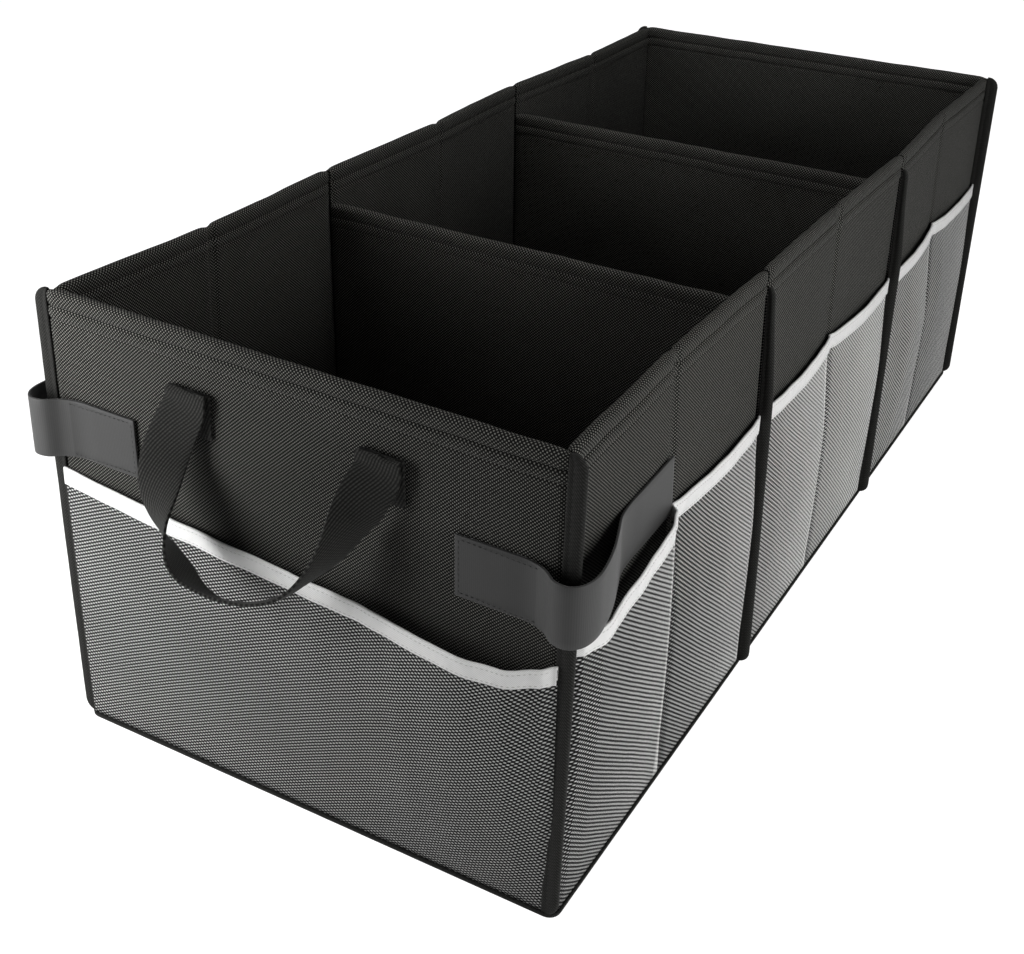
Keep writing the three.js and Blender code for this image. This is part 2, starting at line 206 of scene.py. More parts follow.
@dataclass(frozen=True)
class Stance:
    """How the standing box gives a little: its walls lean at their folds, one corner sits back."""

    stations: tuple[float, ...] = (-435.0, -290.0, -145.0, 0.0, 145.0, 290.0, 435.0)
    left_in: tuple[float, ...] = (0.0, 4.0, 0.0, 5.0, -1.5, 4.0, 0.0)
    left_back: tuple[float, ...] = (7.0, 4.0, 1.0, 4.0, 0.0, 1.0, 0.0)
    left_up: tuple[float, ...] = (3.5, 1.0, 1.0, 2.0, 1.5, 0.5, 0.0)
    right_in: tuple[float, ...] = (0.0, -5.5, -4.0, -4.5, 0.5, -6.0, -1.0)
    right_back: tuple[float, ...] = (0.0, -2.0, -1.5, -1.5, 0.0, -1.0, 0.0)
    right_up: tuple[float, ...] = (0.0, -0.5, -1.0, -0.8, 0.0, -1.5, 0.0)
    power: float = 1.25

    def moved(self, point: Vector) -> Vector:
        """Where a point of the ideal box really stands.

        Args:
            point: a place in the ideal box, in millimetres.

        Returns:
            The place after the box has settled.
        """
        across = min(1.0, max(0.0, point.x / WIDTH + 0.5))
        weight = max(0.0, point.z / HEIGHT) ** self.power
        lines = (
            (self.left_in, self.right_in),
            (self.left_back, self.right_back),
            (self.left_up, self.right_up),
        )
        shift = []
        for left, right in lines:
            low = Table(self.stations, left, eased=False).at(point.y)
            high = Table(self.stations, right, eased=False).at(point.y)
            shift.append(low + (high - low) * across)
        return point + Vector(shift) * weight


STANCE = Stance()


# Shader graphs


class Wire:
    """A value in a shader graph: arithmetic on it adds Math nodes."""

    def __init__(self, graph: "Graph", socket: bpy.types.NodeSocket) -> None:
        """Keep the graph and the socket that the value comes from."""
        self.graph = graph
        self.socket = socket

    def math(self, operation: str, *others: "Wire | float", swapped: bool = False) -> "Wire":
        """A Math node on this value and the others, with this one last where they are swapped."""
        values = [*others, self] if swapped else [self, *others]
        return self.graph.value(
            "ShaderNodeMath", {"operation": operation}, dict(enumerate(values))
        )

    def __add__(self, other: "Wire | float") -> "Wire":
        """Sum."""
        return self.math("ADD", other)

    def __radd__(self, other: float) -> "Wire":
        """Sum, with the number first."""
        return self.math("ADD", other)

    def __sub__(self, other: "Wire | float") -> "Wire":
        """Difference."""
        return self.math("SUBTRACT", other)

    def __rsub__(self, other: float) -> "Wire":
        """Difference, with the number first."""
        return self.math("SUBTRACT", other, swapped=True)

    def __mul__(self, other: "Wire | float") -> "Wire":
        """Product."""
        return self.math("MULTIPLY", other)

    def __rmul__(self, other: float) -> "Wire":
        """Product, with the number first."""
        return self.math("MULTIPLY", other)

    def __truediv__(self, other: "Wire | float") -> "Wire":
        """Quotient."""
        return self.math("DIVIDE", other)

    def __rtruediv__(self, other: float) -> "Wire":
        """Quotient, with the number first."""
        return self.math("DIVIDE", other, swapped=True)

    def __pow__(self, other: "Wire | float") -> "Wire":
        """Power."""
        return self.math("POWER", other)

    def sine(self) -> "Wire":
        """Sine of the value in radians."""
        return self.math("SINE")

    def size(self) -> "Wire":
        """The value without its sign."""
        return self.math("ABSOLUTE")

    def step(self, low: float, high: float) -> "Wire":
        """A soft step from 0 at low to 1 at high."""
        return self.graph.value(
            "ShaderNodeMapRange",
            {"interpolation_type": "SMOOTHSTEP"},
            {"Value": self, "From Min": low, "From Max": high},
        )


class Graph:
    """The node graph of one material, or of the world."""

    def __init__(self, owner: bpy.types.Material | bpy.types.World, kind: str = "Material") -> None:
        """Start an empty graph.

        Args:
            owner: the new material or world.
            kind: the kind of output that the graph ends in.
        """
        owner.use_nodes = True
        self.owner = owner
        self.tree = owner.node_tree
        self.tree.nodes.clear()
        self.output = self.node(f"ShaderNodeOutput{kind}")

    def node(
        self,
        kind: str,
        settings: Mapping[str, Any] | None = None,
        sockets: Mapping[str | int, Any] | None = None,
    ) -> bpy.types.Node:
        """Add a node.

        Args:
            kind: the node's type.
            settings: its settings, set first.
            sockets: values or wires for its sockets, by name or number.

        Returns:
            The new node.
        """
        made = self.tree.nodes.new(kind)
        for key, setting in (settings or {}).items():
            setattr(made, key, setting)
        for key, value in (sockets or {}).items():
            if isinstance(value, Wire):
                self.tree.links.new(value.socket, made.inputs[key])
            else:
                made.inputs[key].default_value = value
        return made

    def value(
        self,
        kind: str,
        settings: Mapping[str, Any] | None = None,
        sockets: Mapping[str | int, Any] | None = None,
        output: str | int = 0,
    ) -> Wire:
        """Add a node and take one of its outputs as a wire."""
        return Wire(self, self.node(kind, settings, sockets).outputs[output])

    def flat(self) -> tuple[Wire, Wire, Wire]:
        """The piece's flat coordinates in metres: along it, across it, and both as a vector."""
        uv = self.value("ShaderNodeUVMap", {"uv_map": "flat"})
        split = self.node("ShaderNodeSeparateXYZ", None, {0: uv})
        along, across = (Wire(self, split.outputs[k]) for k in (0, 1))
        return along, across, self.joined(along, across)

    def joined(self, along: Wire, across: Wire) -> Wire:
        """A vector from two flat coordinates."""
        return self.value("ShaderNodeCombineXYZ", None, {0: along, 1: across})

    def grain(self, vector: Wire, scale: float, detail: float = 2.0) -> Wire:
        """Noise from 0 to 1, at a number of lumps a metre."""
        return self.value(
            "ShaderNodeTexNoise", None, {"Vector": vector, "Scale": scale, "Detail": detail}
        )

    def blend(self, share: Wire, low: Colour, high: Colour, tone: Wire | float = 1.0) -> Wire:
        """A colour between two colours, made darker or lighter by a tone about 1."""
        ends = {"Factor": share, 6: (*low, 1.0), 7: (*high, 1.0)}
        mixed = self.value("ShaderNodeMix", {"data_type": "RGBA"}, ends, output=2)
        scale = {0: mixed, "Scale": tone}
        return self.value("ShaderNodeVectorMath", {"operation": "SCALE"}, scale)

    def relief(self, height: Wire, strength: float, depth: float) -> Wire:
        """A bumpy normal from a height, with the depth in millimetres."""
        return self.value(
            "ShaderNodeBump",
            None,
            {"Height": height, "Strength": strength, "Distance": depth * MM},
        )

    def close(self, shader: Wire) -> bpy.types.Material | bpy.types.World:
        """Send a shader to the output, and give back what owns the graph."""
        self.tree.links.new(shader.socket, self.output.inputs["Surface"])
        return self.owner

    def finish(self, sockets: Mapping[str, Any]) -> bpy.types.Material:
        """Close the graph with one surface shader, set by its sockets."""
        return self.close(self.value("ShaderNodeBsdfPrincipled", None, sockets))


@dataclass(frozen=True)
class Finish:
    """A finish of the box: how it is made, and the slot that it belongs to."""

    name: str
    slot: str | None

    def material(self) -> bpy.types.Material:
        """The finish as a material, made once."""
        kept = bpy.data.materials.get(self.name)
        return kept or self.made(Graph(bpy.data.materials.new(self.name)))

    def made(self, graph: Graph) -> bpy.types.Material:
        """Build the material in an empty graph."""
        raise NotImplementedError


@dataclass(frozen=True)
class WovenCloth(Finish):
    """Coarse plain-woven black cloth: crossing threads that show as rows of small light dots."""

    pitch: tuple[float, float] = (1.25, 1.13)
    dark: Colour = (0.0040, 0.0040, 0.0036)
    light: Colour = (0.240, 0.238, 0.219)
    relief_depth: float = 0.2
    sheen: float = 0.02

    def made(self, graph: Graph) -> bpy.types.Material:
        """Build the material in an empty graph."""
        along, across, place = graph.flat()
        drift = graph.grain(place, 55.0) - 0.5
        warp = (along * (math.pi / (self.pitch[0] * MM)) + drift * 1.2).sine()
        weft = (across * (math.pi / (self.pitch[1] * MM)) + drift * 0.9).sine()
        cross = warp * weft
        threads = cross.step(0.1, 0.9)
        slub = graph.grain(graph.joined(along * 1400.0, across * 160.0), 1.0, 1.0)
        patches = graph.grain(place, 9.0, 4.0)
        tone = (slub * 0.8 + 0.6) * (patches * 0.4 + 0.8)
        colour = graph.blend(threads, self.dark, self.light, tone)
        height = cross.size() * (threads * 0.5 + 0.5)
        return graph.finish(
            {
                "Base Color": colour,
                "Roughness": 0.92 - threads * 0.16,
                "Specular IOR Level": 0.15,
                "Sheen Weight": self.sheen,
                "Sheen Roughness": 0.45,
                "Normal": graph.relief(height, 0.6, self.relief_depth),
            }
        )


@dataclass(frozen=True)
class TwillTape(Finish):
    """Narrow twill tape or webbing: slanting ribs, broken up into short thread dashes."""

    rib: float = 1.7
    slant: float = 0.8
    dash: float = 2.4
    dark: Colour = (0.006, 0.006, 0.0055)
    light: Colour = (0.036, 0.036, 0.033)
    relief_depth: float = 0.2
    roughness: float = 0.8
    sheen: float = 0.06

    def made(self, graph: Graph) -> bpy.types.Material:
        """Build the material in an empty graph."""
        along, across, place = graph.flat()
        turns = 2 * math.pi / (self.rib * MM)
        drift = graph.grain(place, 120.0) - 0.5
        ribs = ((across + along * self.slant) * turns + drift * 1.2).sine() * 0.5 + 0.5
        beat = 2 * math.pi / (self.dash * MM)
        threads = ((along - across * 0.35) * beat + drift * 2.0).sine() * 0.5 + 0.5
        tone = graph.grain(graph.joined(along * 700.0, across * 260.0), 1.0) * 0.8 + 0.6
        share = ribs ** 1.5 * (threads * 0.45 + 0.55)
        colour = graph.blend(share, self.dark, self.light, tone)
        return graph.finish(
            {
                "Base Color": colour,
                "Roughness": self.roughness + ribs * 0.08,
                "Specular IOR Level": 0.2,
                "Sheen Weight": self.sheen,
                "Sheen Roughness": 0.4,
                "Normal": graph.relief(ribs * (threads * 0.3 + 0.7), 0.6, self.relief_depth),
            }
        )


@dataclass(frozen=True)
class KnitMesh(Finish):
    """Grey knitted mesh whose round holes stand in slanting rows.

    With seam lines in it, light and shade are painted into it. Its holes close up towards each line
    ahead, so it is brighter there, with a bright line just before each line (painted highlight). It
    is darker just past each line (painted shade). Its holes also close up along the box, most a
    little past the box's middle and less towards the rear (painted sheen).
    """

    first: tuple[float, float] = (0.22, -0.39)
    second: tuple[float, float] = (-0.25, -0.28)
    opening: float = 0.25
    # how opaque the near-black in the holes is: painted shade seen through the holes
    hole_shade: float = 0.5
    dark: Colour = (0.010, 0.010, 0.010)
    light: Colour = (0.62, 0.62, 0.61)
    seam_step: float = 0.0
    # painted highlight and shade across each stretch between seam lines: how much the holes close
    # towards the line ahead
    painted_crease_light: float = 0.7
    # painted sheen: how much the holes close along the box, so the net brightens there
    rise: float = 0.8

    def made(self, graph: Graph) -> bpy.types.Material:
        """Build the material in an empty graph."""
        along, across, place = graph.flat()
        drift = graph.grain(place, 40.0) - 0.5
        waves = []
        for per_along, per_across in (self.first, self.second):
            phase = along * (per_along / MM) + across * (per_across / MM)
            waves.append((phase * (2 * math.pi) + drift * 0.9 + math.pi / 2).sine())
        holes = waves[0] + waves[1]
        tone = graph.grain(place, 14.0, 3.0) * 0.3 + 0.85
        if self.seam_step:
            # Painted light: the holes close up towards each seam line ahead and along the box, with
            # a bright line just before each line.
            run = (along * (1.0 / (self.seam_step * MM)) + 10.0).math("FRACT")
            full = along.step(-0.35, 0.1) - along.step(0.12, 0.2) * 0.6 - 0.12
            painted_light = (run - 0.5) * self.painted_crease_light + full * self.rise
            holes = holes - painted_light - run.step(0.93, 0.97) * 1.2
            # Painted shade: the net is darker just past each seam line.
            tone = tone * (run.step(0.0, 0.09) * 0.5 + 0.5)
        solid = 1.0 - holes.step(self.opening - 0.1, self.opening + 0.14)
        cord = (1.0 - holes.step(-1.7, self.opening + 0.1)) ** 1.5
        colour = graph.blend(cord, self.dark, self.light, tone)
        return graph.finish(
            {
                "Base Color": colour,
                "Roughness": 0.7,
                # The holes keep a share of near-black: painted shade in the holes.
                "Alpha": solid * (1.0 - self.hole_shade) + self.hole_shade,
                "Specular IOR Level": 0.35,
                "Normal": graph.relief(cord, 0.5, 0.25),
            }
        )


@dataclass(frozen=True)
class PaleTape(Finish):
    """White tape along the pockets' mouths, with fine slanted ribs."""

    rib: float = 1.25
    light: Colour = (0.95, 0.95, 0.94)
    dark: Colour = (0.80, 0.80, 0.79)

    def made(self, graph: Graph) -> bpy.types.Material:
        """Build the material in an empty graph."""
        along, across, place = graph.flat()
        turns = 2 * math.pi / (self.rib * MM)
        ribs = ((along - across * 0.9) * turns).sine() * 0.5 + 0.5
        tone = graph.grain(place, 160.0) * 0.2 + 0.9
        colour = graph.blend(ribs.step(0.05, 0.6), self.dark, self.light, tone)
        return graph.finish(
            {
                "Base Color": colour,
                "Roughness": 0.5 + ribs * 0.1,
                "Normal": graph.relief(ribs, 0.5, 0.15),
            }
        )


@dataclass(frozen=True)
class SmoothStrap(Finish):
    """Smooth dark grey strap tape with very fine ribs across it, and painted shade on its sewn
    patch.
    """

    rib: float = 1.3
    grey: float = 0.032
    patch: float = 53.0
    # how dark the sewn patch is painted: painted shade
    patch_tone: float = 0.6

    def made(self, graph: Graph) -> bpy.types.Material:
        """Build the material in an empty graph."""
        along, across, place = graph.flat()
        ribs = (along * (2 * math.pi / (self.rib * MM))).sine() * 0.5 + 0.5
        nap = graph.grain(graph.joined(along * 900.0, across * 500.0), 1.0, 3.0)
        wear = graph.grain(place, 22.0, 4.0)
        low = (self.grey * 0.66,) * 3
        high = (self.grey * 1.25, self.grey * 1.25, self.grey * 1.22)
        share = ribs * 0.35 + nap * 0.35 + wear * 0.35
        # Painted shade: the sewn patch on the front panel is darker than the rest of the strap.
        loose = along.step((self.patch - 0.6) * MM, (self.patch + 0.6) * MM)
        tone = loose * (1.0 - self.patch_tone) + self.patch_tone
        return graph.finish(
            {
                "Base Color": graph.blend(share, low, high, tone),
                "Roughness": 0.55 + nap * 0.15,
                "Specular IOR Level": 0.45,
                "Sheen Weight": 0.3,
                "Sheen Roughness": 0.35,
                "Normal": graph.relief(ribs * 0.6 + nap * 0.4, 0.35, 0.12),
            }
        )


@dataclass(frozen=True)
class FibreBoard(Finish):
    """Pressed brown fibreboard inside the covers."""

    dark: Colour = (0.10, 0.07, 0.045)
    light: Colour = (0.24, 0.18, 0.12)

    def made(self, graph: Graph) -> bpy.types.Material:
        """Build the material in an empty graph."""
        place = graph.value("ShaderNodeTexCoord", output="Object")
        fibres = graph.grain(place, 420.0, 5.0)
        stains = graph.grain(place, 18.0, 3.0)
        share = fibres * 0.6 + stains * 0.4
        return graph.finish(
            {
                "Base Color": graph.blend(share, self.dark, self.light),
                "Roughness": 0.88 - fibres * 0.1,
                "Normal": graph.relief(fibres, 0.4, 0.2),
            }
        )


@dataclass(frozen=True)
class SewingThread(Finish):
    """Twisted sewing thread."""

    dark: Colour = (0.006, 0.006, 0.006)
    light: Colour = (0.022, 0.022, 0.021)

    def made(self, graph: Graph) -> bpy.types.Material:
        """Build the material in an empty graph."""
        place = graph.value("ShaderNodeTexCoord", output="Object")
        fluff = graph.grain(place, 2600.0, 2.0)
        return graph.finish(
            {
                "Base Color": graph.blend(fluff, self.dark, self.light),
                "Roughness": 0.62 + fluff * 0.2,
                "Normal": graph.relief(fluff, 0.4, 0.08),
            }
        )


CLOTH = WovenCloth("black_woven_cloth", "cloth")
BINDING = TwillTape("black_binding_tape", "binding")
MESH = KnitMesh("light_grey_mesh", "mesh")
# A lighter copy of the mesh, with its holes more closed, for the side pockets: painted sheen. It
# also has painted light and shade at its seam lines.
CLOSE_MESH_PAINTED_LIGHT = KnitMesh(
    "light_grey_close_mesh",
    "mesh",
    opening=0.45,
    hole_shade=0.4,
    light=(0.86, 0.86, 0.845),
    seam_step=BAY / 2,
)
PALE_TAPE = PaleTape("pale_trim_tape", "light_tape")
HANDLE_WEBBING = TwillTape(
    "ribbed_handle_webbing",
    "webbing",
    rib=2.1,
    slant=0.48,
    dash=2.2,
    dark=(0.0030, 0.0030, 0.0026),
    light=(0.048, 0.048, 0.044),
    relief_depth=0.4,
)
STRAP_TAPE = SmoothStrap("smooth_strap_tape", "webbing")
BOARD = FibreBoard("fibre_board", "stiffener")
DARK_THREAD = SewingThread("dark_sewing_thread", None)
PALE_THREAD = SewingThread("pale_sewing_thread", None, (0.42, 0.42, 0.40), (0.7, 0.7, 0.68))


# Pieces


def piece(mesh: bmesh.types.BMesh, name: str, finish: Finish, body: str = BOX) -> bpy.types.Object:
    """Turn a built mesh into a piece of the box.

    Args:
        mesh: the built mesh, in metres, which is used up.
        name: the piece's name.
        finish: what it is made of.
        body: the body that it moves with.

    Returns:
        The new object.
    """
    for face in mesh.faces:
        face.smooth = True
    data = bpy.data.meshes.new(name)
    mesh.to_mesh(data)
    mesh.free()
    made = bpy.data.objects.new(name, data)
    bpy.context.scene.collection.objects.link(made)
    data.materials.append(finish.material())
    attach(made, body)
    LOG.info("%s: %d faces", name, len(data.polygons))
    return made


@dataclass
class Sheet:
    """Cloth, tape or board, laid out flat on a grid of stops and then brought into its shape."""

    name: str
    columns: Sequence[float]
    rows: Sequence[float]
    shape: Shape
    thickness: float = 0.0
    closed: bool = False
    edge_radius: float = 0.0
    settled: bool = True

    def build(self, finish: Finish, body: str = BOX) -> bpy.types.Object:
        """Make the piece.

        Args:
            finish: what it is made of.
            body: the body that it moves with.

        Returns:
            The new object.
        """
        mesh = bmesh.new()
        layer = mesh.loops.layers.uv.new("flat")
        wide, high = len(self.columns) - 1, len(self.rows) - 1
        bmesh.ops.create_grid(mesh, x_segments=wide, y_segments=high, size=0.5)
        flat = {}
        for vert in mesh.verts:
            along = self.columns[round((vert.co.x + 0.5) * wide)]
            across = self.rows[round((vert.co.y + 0.5) * high)]
            flat[vert] = Vector((along, across)) * MM
            place = self.shape(along, across)
            vert.co = (STANCE.moved(place) if self.settled else place) * MM
        for face in mesh.faces:
            for loop in face.loops:
                loop[layer].uv = flat[loop.vert]
        if self.closed:
            bmesh.ops.remove_doubles(mesh, verts=mesh.verts[:], dist=0.01 * MM)
            bmesh.ops.recalc_face_normals(mesh, faces=mesh.faces[:])
        made = piece(mesh, self.name, finish, body)
        if self.thickness:
            solid = made.modifiers.new("thickness", "SOLIDIFY")
            solid.thickness = self.thickness * MM
            solid.offset = 0.0
        if self.edge_radius:
            bevel = made.modifiers.new("edge", "BEVEL")
            bevel.width = self.edge_radius * MM
            bevel.segments = 2
            bevel.angle_limit = math.radians(50)
        return made

    def declare(
        self, made: bpy.types.Object, hold: Hold, rests_on: Sequence[str], **extra: Any
    ) -> None:
        """Work out the flat span of the piece's stops in metres, and keep nothing of it."""
        span = (self.columns[-1] - self.columns[0], self.rows[-1] - self.rows[0])
        span[0] * MM
        span[1] * MM


@dataclass
class Stitching:
    """Rows of stitches, gathered into one piece."""

    name: str
    pitch: float = 3.4
    length: float = 2.5
    width: float = 0.55
    height: float = 0.42
    stitches: list[Matrix] = field(default_factory=list)

    def row(self, path: Sequence[Vector], outward: Vector, settled: bool = True) -> None:
        """Sew one row along a path.

        Args:
            path: points in millimetres, on the surface that is sewn.
            outward: the way that the surface faces.
            settled: whether the points still have to settle with the box.
        """
        points = [STANCE.moved(p) for p in path] if settled else list(path)
        travelled = 0.0
        due = self.pitch / 2
        for first, second in zip(points, points[1:]):
            reach = (second - first).length
            if reach < 1e-6:
                continue
            tangent = (second - first) / reach
            side = outward.cross(tangent).normalized()
            up = tangent.cross(side).normalized()
            while due <= travelled + reach:
                place = first + tangent * (due - travelled)
                turn = Matrix((tangent, side, up)).transposed().to_4x4()
                size = Matrix.Diagonal((self.length / 2, self.width / 2, self.height / 2, 1.0))
                self.stitches.append(Matrix.Translation(place * MM) @ turn @ (size * MM_4))
                due += self.pitch
            travelled += reach

    def ring(
        self, corners: Sequence[Vector], outward: Vector, count: int, settled: bool = True
    ) -> None:
        """Sew round a box of corners, following each side in count stretches."""
        for a, b in zip(corners, [*corners[1:], corners[0]]):
            self.row([a.lerp(b, share) for share in spread(0.0, 1.0, count)], outward, settled)

    def build(self, finish: Finish, slot: str, body: str = BOX) -> bpy.types.Object:
        """Make all the stitches.

        Args:
            finish: the thread.
            slot: not used.
            body: the body that they move with.

        Returns:
            The new object.
        """
        mesh = bmesh.new()
        for matrix in self.stitches:
            bmesh.ops.create_icosphere(mesh, subdivisions=1, radius=1.0, matrix=matrix)
        made = piece(mesh, self.name, finish, body)
        return made


@dataclass(frozen=True)
class Route:
    """A smooth line through points, as webbing takes between the places that hold it."""

    points: tuple[Vector, ...]

    def at(self, share: float) -> Vector:
        """A place on the centripetal curve through the points.

        Args:
            share: the share of the way from 0 to 1, counted in points.

        Returns:
            The place.
        """
        before, after = (2 * a - b for a, b in (self.points[:2], self.points[:-3:-1]))
        count = len(self.points) - 1
        k = min(int(share * count), count - 1)
        p = (before, *self.points, after)[k : k + 4]
        t = [0.0]
        for a, b in zip(p, p[1:]):
            t.append(t[-1] + max((b - a).length, 1e-6) ** 0.5)
        now = t[1] + (t[2] - t[1]) * (share * count - k)

        def mix(a: Vector, b: Vector, low: float, high: float) -> Vector:
            """A point on the line from a at low to b at high."""
            return a * ((high - now) / (high - low)) + b * ((now - low) / (high - low))

        first = [mix(p[j], p[j + 1], t[j], t[j + 1]) for j in range(3)]
        second = [mix(first[j], first[j + 1], t[j], t[j + 2]) for j in range(2)]
        return mix(second[0], second[1], t[1], t[2])

    def even(self, count: int) -> list[Vector]:
        """Places along the line, at even distances.

        Args:
            count: how many stretches.

        Returns:
            count + 1 places.
        """
        fine = [self.at(k / (count * 8)) for k in range(count * 8 + 1)]
        run = [0.0]
        for a, b in zip(fine, fine[1:]):
            run.append(run[-1] + (b - a).length)
        found = []
        for k in range(count + 1):
            goal = run[-1] * k / count
            j = min(bisect_right(run, goal), len(run) - 1)
            low, high = run[j - 1], run[j]
            share = 0.0 if high == low else (goal - low) / (high - low)
            found.append(fine[j - 1].lerp(fine[j], share))
        return found


# Covered panels


@dataclass
class Panel:
    """A stiff panel: cloth folded over the top of its boards, with a hem of two stitched bands."""

    name: str
    start: float
    stop: float
    top: float
    place: Placing
    outward: Vector
    nodes: tuple[str, ...]
    creases: tuple[float, ...] = ()
    seed: float = 0.0
    sway: float = 0.55
    half: float = 2.45
    cloth: float = 1.1
    board: float = 2.6
    board_margin: float = 6.6
    bulge: float = 0.62
    top_band: float = 9.0
    groove: float = 2.0
    lower_band: float = 6.5
    lower_groove: float = 2.2
    sunk: tuple[float, float] = (0.9, 0.7)
    dip: float = 1.3
    dip_width: float = 4.5
    wave: float = 0.5
    pucker: float = 0.22
    lower_bulge: float = 1.15
    firm: float = 40.0
    channel: float = 0.34
    crease_seam: float = 2.2
    step: float = 6.5

    @property
    def height(self) -> float:
        """The cover's height above its foot."""
        return self.top - STAND

    @property
    def radius(self) -> float:
        """The radius of the fold along the top."""
        return self.half + self.bulge

    @property
    def face(self) -> float:
        """The run of cloth up one face."""
        return self.height - self.radius

    @property
    def total(self) -> float:
        """The run of cloth up one face, over the top and down the other."""
        return 2 * self.face + math.pi * self.radius

    @property
    def bands(self) -> float:
        """How far the hem's two bands and the groove between them reach down."""
        return self.top_band + self.groove + self.lower_band

    def nearest(self, along: float) -> float:
        """The distance to the nearest end or crease."""
        return min(abs(along - mark) for mark in (self.start, self.stop, *self.creases))

    def slim(self, along: float) -> float:
        """How thick the panel is, from the boards to the flat sewn channels between them."""
        crease = min((abs(along - mark) for mark in self.creases), default=99.0)
        end = min(along - self.start, self.stop - along)
        thick = self.channel + (1 - self.channel) * smooth(2.0, 6.4, crease)
        return thick * (0.5 + 0.5 * smooth(0.0, 5.5, end))

    def hem(self, along: float, height: float) -> float:
        """How far the hem stands out from the face.

        Args:
            along: the place along the panel.
            height: the height above the foot.

        Returns:
            The rise in millimetres, below zero in the stitched grooves.
        """
        depth = self.height - height
        full = self.bulge * (1.0 + self.pucker * lumps(along / 5.5, depth / 9.0, self.seed))
        first = self.top_band
        second = first + self.groove
        third = second + self.lower_band
        if depth < first:
            return full * (1.0 - (max(depth, 0.0) / first) ** 7)
        if depth < second:
            return -self.sunk[0] * math.sin(math.pi * (depth - first) / self.groove)
        if depth < third:
            share = 2.0 * (depth - second) / self.lower_band - 1.0
            return self.lower_bulge * full * (1.0 - share**4)
        if depth < third + self.lower_groove:
            return -self.sunk[1] * math.sin(math.pi * (depth - third) / self.lower_groove)
        return 0.0

    def drift(self, along: float, height: float) -> float:
        """The slight unevenness of the whole panel."""
        loose = smooth(0.0, self.firm, self.nearest(along)) * (0.35 + 0.65 * height / HEIGHT)
        broad = lumps(along / 95.0, height / 120.0, self.seed + 3.0)
        fine = lumps(along / 34.0, height / 46.0, self.seed + 7.0)
        return loose * self.sway * (2.0 * broad + 0.7 * fine)

    def shape(self, along: float, run: float) -> Vector:
        """The place of the cloth's middle, for a run up one face, over the top and down.

        Args:
            along: the place along the panel.
            run: the run of cloth from the foot of the outer face.

        Returns:
            The place in the box.
        """
        half = self.half * self.slim(along)
        radius = half + self.bulge
        near = math.exp(-((self.nearest(along) / self.dip_width) ** 2))
        wave = self.wave * lumps(along / 26.0, 1.7, self.seed)
        height = self.height - self.dip * near + wave * (1.0 - near)
        turn = min(max((run - self.face) / self.radius, 0.0), math.pi)
        if 0.0 < turn < math.pi:
            offset = radius * math.cos(turn)
            level = height - radius + radius * math.sin(turn)
        else:
            up = run if turn <= 0.0 else self.total - run
            level = up * (height - radius) / self.face
            offset = half + self.hem(along, up)
            offset = offset if turn <= 0.0 else -offset
        return self.place(along, offset + self.drift(along, level), STAND + level)

    def heights(self) -> list[float]:
        """Heights up one face, closer through the hem."""
        hem_foot = self.height - self.bands - 4.0
        low = spread(0.0, hem_foot, 24)
        return [*low[:-1], *spread(hem_foot, self.face, 20)]

    def rows(self) -> list[float]:
        """Runs of cloth up one face, over the top and down the other."""
        rise = self.heights()
        fold = spread(self.face, self.total - self.face, 7)
        return [*rise, *fold[1:-1], *(self.total - h for h in reversed(rise))]

    def build(self) -> None:
        """Make the cover, its boards and its stitching."""
        marks = (self.start, *self.creases, self.stop)
        columns = graded(self.start, self.stop, self.step, marks)
        sheet = Sheet(f"{self.name}_cloth", columns, self.rows(), self.shape, self.cloth)
        cover = sheet.build(CLOTH)
        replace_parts(cover, self.nodes[0])
        boards = self.add_boards(marks)
        sheet.declare(cover, Hold.FOLDED, [board.name for board in boards])
        self.add_stitching()

    def add_boards(self, marks: Sequence[float]) -> list[bpy.types.Object]:
        """Make the stiff boards inside the cover.

        Args:
            marks: the ends of the panel and its creases.

        Returns:
            One board for each stretch between them.
        """
        boards = []
        top = self.height - self.bands - 1.0
        for k, (low, high) in enumerate(zip(marks, marks[1:])):
            columns = spread(low + self.board_margin, high - self.board_margin, 16)
            name = self.nodes[1 + k].replace("board", "stiffener")
            board = Sheet(name, columns, spread(0.3, top, 16), self.middle, self.board).build(BOARD)
            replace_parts(board, self.nodes[1 + k])
            boards.append(board)
        return boards

    def middle(self, along: float, level: float) -> Vector:
        """A place in the middle of the panel's boards."""
        return self.place(along, self.drift(along, level), STAND + level)

    def add_stitching(self) -> None:
        """Sew the hem's two rows on both faces, and a row each side of every crease."""
        rows = Stitching(f"{self.name}_stitching")
        first = self.height - self.top_band - self.groove / 2
        second = self.height - self.bands - self.lower_groove / 2
        alongs = graded(self.start + 3.0, self.stop - 3.0, 6.0)
        for face, outward in ((1, self.outward), (-1, -self.outward)):
            for level in (first, second):
                rows.row([self.surface(along, level, face) for along in alongs], outward)
            for crease in self.creases:
                levels = spread(4.0, second - 1.0, 40)
                for off in (-self.crease_seam, self.crease_seam):
                    line = [self.surface(crease + off, level, face) for level in levels]
                    rows.row(line, outward)
        rows.build(DARK_THREAD, "cloth")

    def surface(self, along: float, level: float, face: int) -> Vector:
        """A place on the outside of the cloth, on either face of the panel."""
        run = level if face > 0 else self.total - level
        middle = self.shape(along, run)
        return middle + self.outward * face * (self.cloth / 2)


def end_panel(end: End) -> Panel:
    """The cloth-covered panel at one end of the box."""
    sign = end.value
    middle = sign * (LENGTH - WALL) / 2
    return Panel(
        name=f"{end.word}_panel",
        start=CORNER_EDGE - WIDTH / 2,
        stop=WIDTH / 2 - CORNER_EDGE,
        top=HEIGHT,
        place=lambda along, offset, z: Vector((along, middle + sign * offset, z)),
        outward=Vector((0, sign, 0)),
        nodes=(f"{end.word}_panel_cover", f"{end.word}_panel_board"),
        seed=11.0 + sign,
    )


